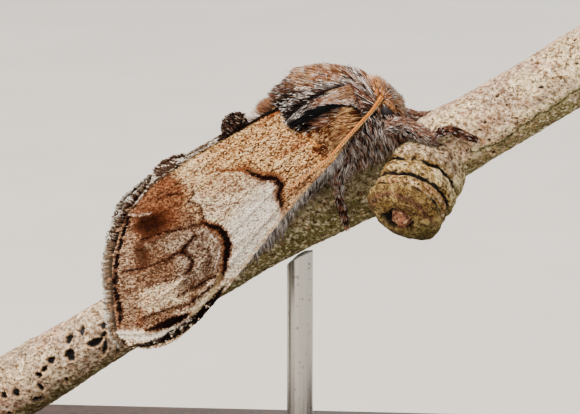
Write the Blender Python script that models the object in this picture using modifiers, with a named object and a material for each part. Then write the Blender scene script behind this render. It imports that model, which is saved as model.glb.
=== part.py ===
"""Pebble prominent moth at rest on a short cut length of twig, on a plain display stand.

The moth and the twig are modelled along +X in their own straight frame: the twig's axis is
the X axis, the head points to +X and the back to +Z. An empty then rolls and pitches them
together onto the stand. Sizes are in millimetres and become metres when a mesh is made.
"""

import math
import random

import bmesh
import bpy
from mathutils import Vector, noise

MM = 0.001
GAP = 0.3  # air that touching pieces keep

# The pose on the stand
PITCH_DEG = 30.0  # the twig rises towards the head
ROLL_DEG = 8.0  # the back leans towards -Y
POSE_X = 0.45
POSE_Z = 18.6  # height of the twig's axis over the base's underside

# The stand
BASE_LENGTH = 45.0
BASE_DEPTH = 26.0
BASE_THICK = 4.0
BASE_EDGE = 0.8
ROD_RADIUS = 0.8
FLANGE_RADIUS = 2.4
FLANGE_THICK = 0.8

# The twig: station along X, height of its centre, radius
TWIG_STATIONS = (
    (-22.5, -0.50, 2.05),
    (-19.0, -0.37, 1.98),
    (-13.0, -0.20, 1.78),
    (-5.0, 0.02, 1.70),
    (0.0, 0.02, 1.72),
    (4.5, -0.12, 1.86),
    (8.0, -0.28, 2.02),
    (10.4, -0.32, 2.18),
    (12.5, -0.26, 2.10),
    (15.0, -0.18, 2.05),
    (21.5, 0.10, 2.02),
)
TWIG_SIDES = 18
TWIG_STEP = 2.2
BARK_ROUGHNESS = 0.07

# The short side shoot with its ring scars
SPUR_START = Vector((9.60, 0.00, -0.25))
SPUR_END = Vector((6.45, -3.86, -1.62))  # centre of the end's rim
SPUR_SIDES = 20
# distance back from the rim along the shoot, radius
SPUR_PROFILE = (
    (4.6, 1.90),
    (3.6, 2.25),
    (2.7, 2.40),
    (2.42, 2.05),
    (2.15, 2.20),
    (1.70, 2.38),
    (1.32, 2.25),
    (1.18, 1.98),
    (1.00, 2.14),
    (0.50, 2.24),
    (0.30, 2.08),
    (0.10, 2.32),
    (-0.28, 2.16),
    (-0.62, 1.45),
    (-0.70, 0.90),
    (-0.42, 0.68),
    (-0.62, 0.52),
    (-0.95, 0.30),
)

# The roof of folded wings: angle of the surface below the horizontal, by the distance q
# measured along it from the ridge
RIDGE_Z = 7.0
ROOF_SHOULDER_DEG = 30.0
ROOF_SHOULDER = 0.8
ROOF_STEEPEN_DEG = 58.0
ROOF_LENGTH = 9.8
ROOF_END = 12.0
ROOF_STEP = 0.05

WING_THICK = 0.5
WING_STATIONS = 15
VEIN_COUNT = 7
VEIN_SPACING = 3  # columns of the wing's grid from one vein to the next
VEIN_HEIGHT = 0.18
FOREWING_COSTA = (
    (6.1, 4.5),
    (4.5, 5.45),
    (1.6, 6.45),
    (-1.3, 7.65),
    (-4.6, 9.0),
    (-7.85, 10.15),
    (-10.3, 10.4),
    (-12.5, 9.3),
)
FOREWING_DORSUM = ((5.9, 3.1), (4.7, 1.6), (3.4, 0.5), (1.8, 0.16), (-3.0, 0.16), (-6.6, 0.4))
FOREWING_TERMEN = (
    (-12.5, 9.3),
    (-12.7, 8.3),
    (-12.25, 6.8),
    (-11.7, 5.6),
    (-11.1, 4.1),
    (-9.9, 2.5),
    (-8.7, 1.3),
    (-6.6, 0.4),
)

# upright scale tufts on the trailing edge: first root, step to the next, count, rise, sweep
MARGIN_TUFTS = ((0.25, -0.34, 5, 1.10, -0.50), (-4.15, -0.40, 5, 0.75, -0.62))

HINDWING_INSET = 0.85  # depth of the hindwing's outer face under the forewing's
HINDWING_VEINS = 2
HINDWING_STATIONS = 9
HINDWING_COSTA = ((3.0, 5.2), (1.5, 5.8), (-1.3, 6.9), (-4.6, 8.2), (-7.2, 8.5))
HINDWING_DORSUM = ((3.0, 4.4), (1.0, 4.6), (-4.0, 4.8), (-8.6, 5.0))
HINDWING_TERMEN = ((-7.2, 8.5), (-9.1, 7.7), (-9.5, 6.4), (-8.6, 5.0))

# the long hair under the leading edge: station along X and height of its tips
FRINGE_TIPS = (
    (2.4, 1.75),
    (1.0, 1.20),
    (0.0, 0.50),
    (-1.0, 0.05),
    (-2.2, -0.30),
    (-3.6, -0.45),
    (-5.0, -0.75),
)
FRINGE_COUNT = 11
FRINGE_SPREAD = 2.65

# Body cores, and the outer surface of their coats: station along X, half width, lowest and
# highest point
THORAX_RINGS = (
    (7.40, 0.95, 3.30, 5.45),
    (7.20, 1.35, 2.95, 5.75),
    (6.90, 1.65, 2.75, 6.00),
    (6.40, 2.00, 2.40, 6.35),
    (5.70, 2.30, 2.20, 6.75),
    (4.90, 2.40, 2.15, 7.00),
    (4.00, 2.15, 2.15, 7.05),
    (3.40, 1.65, 2.40, 6.85),
    (2.85, 0.90, 3.30, 6.20),
)
THORAX_COAT = (
    (8.05, 1.30, 3.20, 6.30),
    (7.60, 1.75, 2.80, 6.80),
    (7.00, 2.25, 2.40, 7.30),
    (6.00, 2.65, 2.00, 7.95),
    (5.10, 2.80, 2.00, 8.30),
    (4.30, 2.80, 2.00, 8.50),
    (3.60, 2.60, 2.20, 8.25),
    (2.60, 2.30, 2.60, 7.80),
)
ABDOMEN_RINGS = (
    (2.45, 0.90, 3.10, 5.00),
    (2.00, 1.45, 2.45, 5.45),
    (1.00, 1.72, 2.15, 5.60),
    (-1.00, 1.75, 2.10, 5.50),
    (-3.00, 1.68, 2.10, 5.35),
    (-5.00, 1.50, 2.15, 5.05),
    (-6.80, 1.20, 2.25, 4.65),
    (-8.20, 0.75, 2.50, 4.10),
    (-8.80, 0.35, 2.80, 3.70),
)
HEAD_RINGS = (
    (7.65, 0.75, 3.00, 4.75),
    (7.90, 1.05, 2.75, 4.95),
    (8.25, 1.12, 2.70, 4.85),
    (8.50, 0.95, 2.85, 4.60),
    (8.70, 0.55, 3.20, 4.20),
)
BODY_SIDES = 14
EYE_CENTRE = Vector((8.17, 1.02, 3.66))
EYE_RADIUS = 0.54

# Antenna: points from its socket to its tip, on the +Y side
ANTENNA_SOCKET = Vector((8.32, 1.12, 4.52))
ANTENNA_PATH = (
    (8.32, 1.12, 4.52),
    (7.55, 2.25, 4.33),
    (6.73, 3.35, 4.26),
    (5.58, 4.05, 4.00),
    (4.17, 4.27, 3.56),
    (1.36, 4.50, 3.21),
)
ANTENNA_ROOT_RADIUS = 0.26
ANTENNA_TIP_RADIUS = 0.12

# Legs: points with their radius, from the hip to the claws, on the +Y side
FORELEG_REACHING = (
    (6.9, 1.00, 3.00, 0.45),
    (7.5, 1.50, 2.85, 0.45),
    (8.1, 1.85, 2.85, 0.46),
    (8.6, 1.90, 2.65, 0.50),
    (9.2, 2.10, 1.98, 0.48),
    (9.8, 2.40, 1.20, 0.38),
    (10.2, 2.33, 1.20, 0.28),
    (10.8, 2.35, 1.10, 0.27),
    (11.2, 2.46, 0.88, 0.26),
    (11.7, 2.63, 0.30, 0.25),
    (12.4, 2.57, -0.56, 0.18),
)
FORELEG_TUCKED = (
    (6.9, 1.00, 3.00, 0.45),
    (7.5, 1.45, 2.85, 0.45),
    (8.3, 1.90, 2.35, 0.46),
    (9.0, 2.20, 1.65, 0.42),
    (9.7, 2.40, 1.22, 0.34),
    (10.3, 2.45, 0.98, 0.27),
    (11.0, 2.55, 0.60, 0.26),
    (11.7, 2.62, 0.15, 0.25),
    (12.1, 2.58, -0.30, 0.18),
)
MIDLEG = (
    (5.4, 1.50, 2.75, 0.42),
    (4.9, 2.25, 2.55, 0.42),
    (4.2, 2.45, 2.20, 0.34),
    (3.8, 2.48, 1.70, 0.27),
    (3.2, 2.52, 0.65, 0.25),
    (3.1, 2.48, 0.20, 0.25),
    (2.9, 2.40, -0.37, 0.25),
    (2.6, 2.05, -1.30, 0.18),
)
HINDLEG = (
    (3.5, 1.30, 2.60, 0.40),
    (2.3, 1.70, 2.05, 0.36),
    (1.0, 2.05, 1.70, 0.33),
    (-1.0, 2.25, 1.40, 0.27),
    (-2.4, 2.35, 0.92, 0.25),
    (-3.6, 2.35, 0.45, 0.20),
)

# hair under the foreleg's thigh: root, tip
THIGH_LOCKS = (
    ((7.55, 1.55, 2.80), (7.75, 2.65, 1.50)),
    ((8.05, 1.85, 2.75), (8.30, 2.62, 1.45)),
    ((8.55, 1.95, 2.50), (8.85, 2.60, 1.50)),
)

LOCK_THICK = 0.5
LOCK_SINK = 0.4

# The thorax's mane: stations of each row's roots and tips
MANE_ROWS = ((6.95, 7.95), (6.9, 7.2), (6.4, 6.2), (5.7, 4.95), (4.9, 3.75), (4.1, 2.75))
MANE_LOCKS = 7
MANE_SPREAD_DEG = 66.0
MANE_WIDTH = 1.25
FLAP_LOCKS = 4
FLANK_ROOTS = ((6.9, 112), (6.3, 120), (5.7, 112), (5.1, 120), (4.5, 110), (3.9, 116))
FLANK_LOW = 1.45
REAR_TUFT = ((3.6, 0.60, 3.3), (3.5, 0.82, 2.5), (3.5, 1.05, 1.6))

# The head's fans: angles up from +X of the locks round each antenna socket
FACE_FAN = ((118, 1.25), (92, 1.30), (66, 1.25), (40, 1.10), (14, 0.98), (-14, 0.92))
FACE_INNER_FAN = ((105, 1.30), (79, 1.30), (53, 1.20), (27, 1.05), (0, 0.98))
CHEEK_ROOTS = ((8.4, 112, 0.35, 0.35), (8.2, 138, 0.40, 0.30), (8.5, 160, 0.35, 0.25))

TAIL_LOCKS = 7
SEGMENT_TUFTS = (0.9, -1.0, -2.9, -4.8, -6.7)

SIDES = (("right", -1), ("left", 1))

random.seed(7)


def clear_scene():
    for old in list(bpy.data.objects):
        bpy.data.objects.remove(old, do_unlink=True)


def make_collection(name):
    made = bpy.data.collections.new(name)
    bpy.context.scene.collection.children.link(made)
    return made


def link(obj, collection):
    for held in list(obj.users_collection):
        held.objects.unlink(obj)
    collection.objects.link(obj)
    return obj


def material(name, colour, roughness=0.7, metallic=0.0):
    made = bpy.data.materials.new(name)
    made.use_nodes = True
    shader = made.node_tree.nodes["Principled BSDF"]
    shader.inputs["Base Color"].default_value = (*colour, 1.0)
    shader.inputs["Roughness"].default_value = roughness
    shader.inputs["Metallic"].default_value = metallic
    return made


def smooth_step(low, high, value):
    share = min(1.0, max(0.0, (value - low) / (high - low)))
    return share * share * (3.0 - 2.0 * share)


def between(rows, x):
    """The values of the row table at x, read along straight lines between its stations."""
    rows = sorted(rows)
    if x <= rows[0][0]:
        return rows[0][1:]
    for first, second in zip(rows, rows[1:]):
        if x <= second[0]:
            share = (x - first[0]) / (second[0] - first[0])
            return tuple(p + (q - p) * share for p, q in zip(first[1:], second[1:]))
    return rows[-1][1:]


def curve_through(points, count):
    """count points, evenly spread by length, on a smooth curve through the given ones."""
    given = [Vector(p) for p in points]
    padded = [given[0] * 2 - given[1], *given, given[-1] * 2 - given[-2]]
    fine = []
    pieces = 12
    for k in range(len(given) - 1):
        a, b, c, d = padded[k : k + 4]
        for step in range(pieces):
            t = step / pieces
            point = b * 2 + (c - a) * t
            point += (a * 2 - b * 5 + c * 4 - d) * t * t
            point += (b * 3 - a - c * 3 + d) * t * t * t
            fine.append(point / 2)
    fine.append(given[-1])
    lengths = [0.0]
    for first, second in zip(fine, fine[1:]):
        lengths.append(lengths[-1] + (second - first).length)
    spread = []
    k = 0
    for step in range(count):
        wanted = lengths[-1] * step / (count - 1)
        while k < len(fine) - 2 and lengths[k + 1] < wanted:
            k += 1
        share = (wanted - lengths[k]) / (lengths[k + 1] - lengths[k])
        spread.append(fine[k].lerp(fine[k + 1], min(1.0, share)))
    return spread


def object_from(name, bm, collection):
    bmesh.ops.recalc_face_normals(bm, faces=bm.faces)
    mesh = bpy.data.meshes.new(name)
    bm.to_mesh(mesh)
    bm.free()
    made = bpy.data.objects.new(name, mesh)
    collection.objects.link(made)
    return made


def loft(name, rings, collection):
    """A closed skin over rings of points. A ring of one point is a tip."""
    bm = bmesh.new()
    made = [[bm.verts.new(Vector(p) * MM) for p in ring] for ring in rings]
    for first, second in zip(made, made[1:]):
        count = max(len(first), len(second))
        for i in range(count):
            j = (i + 1) % count
            if len(second) == 1:
                bm.faces.new((first[i], first[j], second[0]))
            elif len(first) == 1:
                bm.faces.new((first[0], second[j], second[i]))
            else:
                bm.faces.new((first[i], first[j], second[j], second[i]))
    for end in (made[0], made[-1]):
        if len(end) > 2:
            bm.faces.new(end)
    return object_from(name, bm, collection)


def evaluated(obj):
    """Gives obj the mesh that its modifiers make, and takes them off."""
    bpy.context.view_layer.update()
    graph = bpy.context.evaluated_depsgraph_get()
    mesh = bpy.data.meshes.new_from_object(obj.evaluated_get(graph))
    if obj.type == "MESH":
        obj.modifiers.clear()
        obj.data = mesh
        return obj
    bm = bmesh.new()
    bm.from_mesh(mesh)
    bmesh.ops.remove_doubles(bm, verts=bm.verts, dist=0.001 * MM)
    bmesh.ops.recalc_face_normals(bm, faces=bm.faces)
    bm.to_mesh(mesh)
    bm.free()
    made = bpy.data.objects.new(obj.name, mesh)
    made.matrix_world = obj.matrix_world
    for held in obj.users_collection:
        held.objects.link(made)
    name = obj.name
    bpy.data.objects.remove(obj)
    made.name = name
    return made


def keep_largest(obj):
    """Drops all but the largest closed surface of a mesh."""
    bm = bmesh.new()
    bm.from_mesh(obj.data)
    left = set(bm.faces)
    islands = []
    while left:
        island = set()
        front = [left.pop()]
        while front:
            face = front.pop()
            island.add(face)
            for edge in face.edges:
                for other in edge.link_faces:
                    if other in left:
                        left.discard(other)
                        front.append(other)
        islands.append(island)
    islands.sort(key=lambda faces: sum(f.calc_area() for f in faces))
    for island in islands[:-1]:
        bmesh.ops.delete(bm, geom=list(island), context="FACES")
    bm.to_mesh(obj.data)
    bm.free()


def boolean(obj, others, operation, solver="EXACT"):
    """Joins others to obj, or cuts them from it, applies that and removes others.

    Bodies with crossing locks take the MANIFOLD solver, which EXACT fails on."""
    held = bpy.data.collections.new("operands")
    bpy.context.scene.collection.children.link(held)
    for other in others:
        link(other, held)
    modifier = obj.modifiers.new(operation.lower(), "BOOLEAN")
    modifier.operation = operation
    modifier.operand_type = "COLLECTION"
    modifier.collection = held
    modifier.solver = solver
    evaluated(obj)
    for other in others:
        bpy.data.objects.remove(other)
    bpy.data.collections.remove(held)
    keep_largest(obj)
    return obj


def roof_table():
    rows = [(0.0, 0.0, RIDGE_Z, 0.0)]
    while rows[-1][0] < ROOF_END:
        q, y, z, _ = rows[-1]
        q += ROOF_STEP
        angle = ROOF_SHOULDER_DEG * smooth_step(0.0, ROOF_SHOULDER, q)
        angle = math.radians(angle + ROOF_STEEPEN_DEG * q / ROOF_LENGTH)
        rows.append((q, y + ROOF_STEP * math.cos(angle), z - ROOF_STEP * math.sin(angle), angle))
    return rows


ROOF = roof_table()


def roof_point(x, q, side, out=0.0):
    """A point of the folded wings' outer surface, moved out along its normal."""
    k = min(len(ROOF) - 2, max(0, int(q / ROOF_STEP)))
    share = q / ROOF_STEP - k
    y, z, angle = (p + (r - p) * share for p, r in zip(ROOF[k][1:], ROOF[k + 1][1:]))
    return Vector((x, side * (y + out * math.sin(angle)), z + out * math.cos(angle)))


def patch(costa, dorsum, termen, stations, columns):
    """Rows of (x, q) over a wing, between its leading edge, trailing edge and outer edge."""
    leading = curve_through([(*p, 0) for p in costa], stations)
    trailing = curve_through([(*p, 0) for p in dorsum], stations)
    outer = curve_through([(*p, 0) for p in termen], columns)
    rows = []
    for i in range(stations):
        s = i / (stations - 1)
        row = []
        for j in range(columns):
            t = j / (columns - 1)
            sides = leading[i].lerp(trailing[i], t) + leading[0].lerp(trailing[0], t) * (1 - s)
            sides += outer[j] * s
            corners = leading[0].lerp(trailing[0], t) * (1 - s) + outer[0].lerp(outer[-1], t) * s
            row.append(sides - corners)
        rows.append(row)
    return rows


def wing_sheet(name, rows, side, inset, thick, ridges, collection):
    """A wing's closed solid. Every third column is a vein, raised from the outer face."""
    bm = bmesh.new()
    faces = []
    for level in (0.0, thick):
        grid = []
        for i, row in enumerate(rows):
            line = []
            for j, point in enumerate(row):
                vein = j % VEIN_SPACING == VEIN_SPACING - 1
                raised = ridges if vein and level == 0.0 else 0.0
                raised *= smooth_step(0.0, 0.25, i / len(rows))
                place = roof_point(point.x, point.y, side, raised - inset - level)
                line.append(bm.verts.new(place * MM))
            grid.append(line)
        faces.append(grid)
    stations, columns = len(rows), len(rows[0])
    for grid in faces:
        for i in range(stations - 1):
            for j in range(columns - 1):
                a, b = grid[i][j], grid[i + 1][j]
                c, d = grid[i + 1][j + 1], grid[i][j + 1]
                bm.faces.new((a, b, c))
                bm.faces.new((a, c, d))
    rim = [(0, j) for j in range(columns - 1)]
    rim += [(i, columns - 1) for i in range(stations - 1)]
    rim += [(stations - 1, j) for j in range(columns - 1, 0, -1)]
    rim += [(i, 0) for i in range(stations - 1, 0, -1)]
    for (i, j), (k, m) in zip(rim, rim[1:] + rim[:1]):
        bm.faces.new((faces[0][i][j], faces[0][k][m], faces[1][k][m], faces[1][i][j]))
    return object_from(name, bm, collection)


def lock(points, across, width, collection, thick=LOCK_THICK):
    """One flat, tapered lock that bends from its root through its middle to its tip."""
    root, middle, tip = (Vector(p) for p in points)
    pull = middle * 2 - (root + tip) / 2
    rings = []
    for t, wide, high in ((0.0, 0.75, 0.9), (0.36, 1.0, 1.0), (0.72, 0.8, 0.8)):
        centre = root * (1 - t) ** 2 + pull * 2 * t * (1 - t) + tip * t**2
        along = ((pull - root) * (1 - t) + (tip - pull) * t).normalized()
        flat = (Vector(across) - along * along.dot(Vector(across))).normalized()
        a, b = flat * width * wide / 2, flat.cross(along) * thick * high / 2
        rings.append([centre + a, centre + b, centre - a, centre - b])
    rings.append([tip])
    return loft("lock", rings, collection)


def straight_lock(root, tip, across, width, collection, thick=LOCK_THICK):
    root, tip = Vector(root), Vector(tip)
    return lock((root, (root + tip) / 2, tip), across, width, collection, thick)


def ring_points(x, half_width, low, high, sides=BODY_SIDES, grow=0.0):
    middle, half = (low + high) / 2, (high - low) / 2
    ring = []
    for k in range(sides):
        turn = 2 * math.pi * (k + 0.5) / sides
        ring.append((x, (half_width + grow) * math.sin(turn), middle + (half + grow) * math.cos(turn)))
    return ring


def body(name, rings, collection, grow=0.0):
    """A body core, or its clearance cutter when grow is the gap."""
    stations = [ring_points(*ring, grow=grow) for ring in rings]
    if grow:
        for k, way in ((0, 1.0), (-1, -1.0)):
            x, wide, low, high = rings[k]
            stations.insert(0 if k == 0 else len(stations), ring_points(x + way * grow, wide, low, high))
    return loft(name, stations, collection)


def core_point(rings, x, turn_deg, depth=0.0):
    """A point of a body core at station x, turn_deg down from its top towards +Y."""
    wide, low, high = between(rings, x)
    turn = math.radians(turn_deg)
    middle, half = (low + high) / 2, (high - low) / 2
    return Vector((x, (wide - depth) * math.sin(turn), middle + (half - depth) * math.cos(turn)))


def tube(name, points, collection, grow=0.0, resolution=1):
    """A round limb through points of (x, y, z, radius)."""
    data = bpy.data.curves.new(name, "CURVE")
    data.dimensions = "3D"
    data.bevel_depth = 1.0 * MM
    data.bevel_resolution = resolution
    data.use_fill_caps = True
    spline = data.splines.new("POLY")
    spline.points.add(len(points) - 1)
    for held, (x, y, z, radius) in zip(spline.points, points):
        held.co = (x * MM, y * MM, z * MM, 1.0)
        held.radius = radius + grow
    made = bpy.data.objects.new(name, data)
    collection.objects.link(made)
    return evaluated(made)


def limb_points(rows, side, count):
    places = curve_through([r[:3] for r in rows], count)
    radii = curve_through([(r[3], k, 0) for k, r in enumerate(rows)], count)
    return [(p.x, side * p.y, p.z, r.x) for p, r in zip(places, radii)]


def twig_centre(x):
    height, _ = between(TWIG_STATIONS, x)
    return Vector((x, 0.0, height))


def twig_core(name, collection, grow=0.0):
    """The bark's surface, or with grow its clearance cutter."""
    first, last = TWIG_STATIONS[0][0], TWIG_STATIONS[-1][0]
    count = round((last - first) / TWIG_STEP)
    rings = []
    for i in range(count + 1):
        x = first + (last - first) * i / count
        centre = twig_centre(x)
        _, radius = between(TWIG_STATIONS, x)
        ring = []
        for k in range(TWIG_SIDES):
            turn = 2 * math.pi * k / TWIG_SIDES
            way = Vector((0.0, math.cos(turn), math.sin(turn)))
            bark = 0.0 if grow else BARK_ROUGHNESS * noise.noise(centre * 0.4 + way * 1.3)
            ring.append(centre + way * (radius + bark + grow))
        rings.append(ring)
    if grow:
        for ring, way in ((rings[0], -1.0), (rings[-1], 1.0)):
            for k, point in enumerate(ring):
                ring[k] = point + Vector((way * grow, 0.0, 0.0))
    return loft(name, rings, collection)


def spur(name, collection, grow=0.0):
    """The side shoot: ring scars, then a domed end with its bud."""
    axis = (SPUR_END - SPUR_START).normalized()
    across = axis.cross(Vector((0, 0, 1))).normalized()
    up = across.cross(axis)
    rings = []
    for back, radius in SPUR_PROFILE:
        centre = SPUR_END - axis * back
        ring = []
        for k in range(SPUR_SIDES):
            turn = 2 * math.pi * k / SPUR_SIDES
            way = across * math.cos(turn) + up * math.sin(turn)
            wobble = 0.10 * noise.noise(way * 1.6 + axis * back * 0.5) if radius > 1.0 else 0.0
            ring.append(centre + way * (radius + wobble + grow))
        rings.append(ring)
    return loft(name, rings, collection)


def make_twig(pieces):
    core = twig_core("perch_twig", pieces)
    return boolean(core, [spur("spur", pieces)], "UNION")


def margin_locks(side, pieces):
    """The dark scale tooth on the trailing edge of a forewing, and the smaller one behind it."""
    made = []
    for start, step, count, rise, sweep in MARGIN_TUFTS:
        for k in range(count):
            root = roof_point(start + step * k, 0.42 + 0.10 * (k % 2), side, -0.15)
            height = rise * (0.72 + 0.28 * math.sin(math.pi * (k + 0.6) / count))
            tip = root + Vector((sweep * (0.6 + 0.12 * k), 0.0, height))
            made.append(straight_lock(root, tip, (1, 0, 0.3), 0.6, pieces))
    return made


def make_forewing(side, name, pieces):
    columns = VEIN_SPACING * VEIN_COUNT + 1
    rows = patch(FOREWING_COSTA, FOREWING_DORSUM, FOREWING_TERMEN, WING_STATIONS, columns)
    sheet = wing_sheet(name, rows, side, 0.0, WING_THICK, VEIN_HEIGHT, pieces)
    return boolean(sheet, margin_locks(side, pieces), "UNION", "MANIFOLD")


def fringe_locks(side, pieces):
    """The long grey hairs that hang from under the leading edge over the twig."""
    made = []
    first, last = FRINGE_TIPS[0][0], FRINGE_TIPS[-1][0]
    for k in range(FRINGE_COUNT):
        x = first + (last - first) * k / (FRINGE_COUNT - 1)
        low = between(FRINGE_TIPS, x)[0] + 0.15 * math.sin(2.3 * k)
        q = between(HINDWING_COSTA, x + 0.5)[0] - 0.25
        root = roof_point(x + 0.5, q, side, -HINDWING_INSET - 0.25)
        tip = Vector((x, side * FRINGE_SPREAD, low))
        middle = (root + tip) / 2 + Vector((0.1, side * 0.2, 0.0))
        made.append(lock((root, middle, tip), (1, 0, 0), 0.95, pieces))
    return made


def make_hindwing(side, name, pieces):
    columns = VEIN_SPACING * HINDWING_VEINS + 1
    rows = patch(HINDWING_COSTA, HINDWING_DORSUM, HINDWING_TERMEN, HINDWING_STATIONS, columns)
    sheet = wing_sheet(name, rows, side, HINDWING_INSET, WING_THICK, 0.08, pieces)
    boolean(sheet, fringe_locks(side, pieces), "UNION", "MANIFOLD")
    return boolean(sheet, [leg(HINDLEG, side, "leg_air", pieces, GAP)], "DIFFERENCE", "MANIFOLD")


def wing_cutter(side, pieces):
    """A forewing and the air round it, to be cut from the body."""
    rows = patch(FOREWING_COSTA, FOREWING_DORSUM, FOREWING_TERMEN, 12, 7)
    grown = []
    for row in rows:
        way = (row[0] - row[-1]).normalized() * GAP
        grown.append([row[0] + way, *row[1:-1], row[-1] - way])
    ahead = Vector((GAP, 0.0, 0.0))
    grown[0] = [point + ahead for point in grown[0]]
    thick = WING_THICK + 2 * GAP + VEIN_HEIGHT
    return wing_sheet("wing_air", grown, side, -GAP - VEIN_HEIGHT, thick, 0.0, pieces)


def thorax_locks(pieces):
    """The mane: collar, crest, shoulder flaps and flanks. Its rows lie towards the tail."""
    made = []
    for row, (x, tip_x) in enumerate(MANE_ROWS):
        for k in range(MANE_LOCKS + row % 2):
            turn = MANE_SPREAD_DEG * (2 * k / (MANE_LOCKS - 1 + row % 2) - 1)
            root = core_point(THORAX_RINGS, x, turn, LOCK_SINK)
            middle = core_point(THORAX_COAT, x * 0.55 + tip_x * 0.45, turn, 0.55)
            tip = core_point(THORAX_COAT, tip_x - 0.25 * random.random(), turn, 0.1)
            across = (0, math.cos(math.radians(turn)), -math.sin(math.radians(turn)))
            made.append(lock((root, middle, tip), across, MANE_WIDTH, pieces))
    for _, side in SIDES:
        flip = Vector((1, side, 1))
        for k in range(FLAP_LOCKS):
            root = core_point(THORAX_RINGS, 6.3 - 0.2 * k, 50 + 9 * k, LOCK_SINK) * flip
            middle = roof_point(4.9 + 0.2 * k, 1.5 + 0.42 * k, side, 1.0)
            tip = roof_point(2.75 + 0.42 * k, 1.15 + 0.45 * k, side, 0.85)
            made.append(lock((root, middle, tip), (0, 1, -side), 1.15, pieces, 0.6))
        for k, (x, turn) in enumerate(FLANK_ROOTS):
            root = core_point(THORAX_RINGS, x, turn, LOCK_SINK) * flip
            tip = Vector((x - 0.35, 2.85, FLANK_LOW + 0.12 * (k % 3))) * flip
            middle = (root + tip) / 2 + Vector((0, side * 0.35, 0.25))
            made.append(lock((root, middle, tip), (1, 0, 0), 1.05, pieces))
    for k, (x, rise, back) in enumerate(REAR_TUFT):
        root = core_point(THORAX_RINGS, x, 0.0, LOCK_SINK)
        tip = root + Vector((-back, 0.0, rise))
        made.append(straight_lock(root, tip, (0, 1, 0), 1.2 - 0.1 * k, pieces))
    return made


def head_locks(pieces):
    """The face: locks that fan out round each antenna socket over brow, muzzle and cheek."""
    made = []
    for _, side in SIDES:
        flip = Vector((1, side, 1))
        for spread, inward in ((FACE_FAN, 0.45), (FACE_INNER_FAN, 0.85)):
            for turn, reach in spread:
                way = Vector((math.cos(math.radians(turn)), 0.0, math.sin(math.radians(turn))))
                hub = ANTENNA_SOCKET - Vector((0.15, inward, 0.15))
                root = hub + way * 0.12 - Vector((0, 0.15, 0))
                tip = hub + way * reach + Vector((0.0, -0.10, 0.0))
                middle = hub + way * reach * 0.55 + Vector((0.0, 0.10, 0.0))
                across = way.cross(Vector((0, side, 0)))
                made.append(lock((root * flip, middle * flip, tip * flip), across, 0.60, pieces))
        for x, turn, out, ahead in CHEEK_ROOTS:
            root = core_point(HEAD_RINGS, x, turn, LOCK_SINK * 0.5)
            turned = math.radians(turn)
            way = Vector((0.0, math.sin(turned), math.cos(turned)))
            tip = root + way * out + Vector((ahead, 0.0, 0.0))
            across = way.cross(Vector((1, 0, 0)))
            made.append(straight_lock(root * flip, tip * flip, across * flip, 0.62, pieces))
    return made


def abdomen_locks(pieces):
    """The tail brush and the side tufts of the segments."""
    made = []
    for k in range(TAIL_LOCKS):
        turn = 2 * math.pi * k / TAIL_LOCKS
        root = Vector((-8.2, 0.35 * math.sin(turn), 3.25 + 0.35 * math.cos(turn)))
        tip = root + Vector((-1.9, 0.55 * math.sin(turn), 0.55 * math.cos(turn)))
        made.append(straight_lock(root, tip, (0, math.cos(turn), -math.sin(turn)), 0.6, pieces))
    for _, side in SIDES:
        flip = Vector((1, side, 1))
        for x in SEGMENT_TUFTS:
            root = core_point(ABDOMEN_RINGS, x, 118.0, LOCK_SINK * 0.5)
            tip = root + Vector((-1.2, 0.18, -0.12))
            made.append(straight_lock(root * flip, tip * flip, (0, side * 0.4, -1), 0.7, pieces))
    return made


def eye_ball(side, name, collection, grow=0.0):
    bpy.ops.mesh.primitive_uv_sphere_add(segments=14, ring_count=9, radius=(EYE_RADIUS + grow) * MM)
    made = bpy.context.object
    made.name = name
    bm = bmesh.new()
    bm.from_mesh(made.data)
    bmesh.ops.translate(bm, verts=bm.verts, vec=EYE_CENTRE * Vector((1, side, 1)) * MM)
    bm.to_mesh(made.data)
    bm.free()
    return link(made, collection)


def antenna(side, name, collection, grow=0.0):
    count = 16
    places = curve_through(ANTENNA_PATH, count)
    rows = []
    for k, place in enumerate(places):
        share = k / (count - 1)
        radius = ANTENNA_ROOT_RADIUS + (ANTENNA_TIP_RADIUS - ANTENNA_ROOT_RADIUS) * share**2
        rows.append((place.x, side * place.y, place.z, radius))
    return tube(name, rows, collection, grow)


def leg(rows, side, name, collection, grow=0.0):
    return tube(name, limb_points(rows, side, 14), collection, grow)


def legs(side):
    foreleg = FORELEG_REACHING if side < 0 else FORELEG_TUCKED
    return (("foreleg", foreleg), ("midleg", MIDLEG), ("hindleg", HINDLEG))


def make_thorax(pieces):
    core = body("thorax", THORAX_RINGS, pieces)
    boolean(core, thorax_locks(pieces), "UNION", "MANIFOLD")
    cutters = [wing_cutter(side, pieces) for _, side in SIDES]
    cutters.append(twig_core("twig_air", pieces, GAP))
    cutters.append(body("head_air", HEAD_RINGS, pieces, GAP))
    for _, side in SIDES:
        cutters.append(antenna(side, "antenna_air", pieces, GAP))
        cutters += [leg(rows, side, "leg_air", pieces, GAP) for _, rows in legs(side)]
    for cutter in cutters:
        boolean(core, [cutter], "DIFFERENCE", "MANIFOLD")
    return core


def make_head(pieces):
    core = body("head", HEAD_RINGS, pieces)
    boolean(core, head_locks(pieces), "UNION", "MANIFOLD")
    for _, side in SIDES:
        boolean(core, [eye_ball(side, "eye_air", pieces, GAP)], "DIFFERENCE", "MANIFOLD")
        boolean(core, [antenna(side, "antenna_air", pieces, GAP)], "DIFFERENCE", "MANIFOLD")
        boolean(core, [leg(legs(side)[0][1], side, "leg_air", pieces, GAP)], "DIFFERENCE", "MANIFOLD")
    return core


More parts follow.
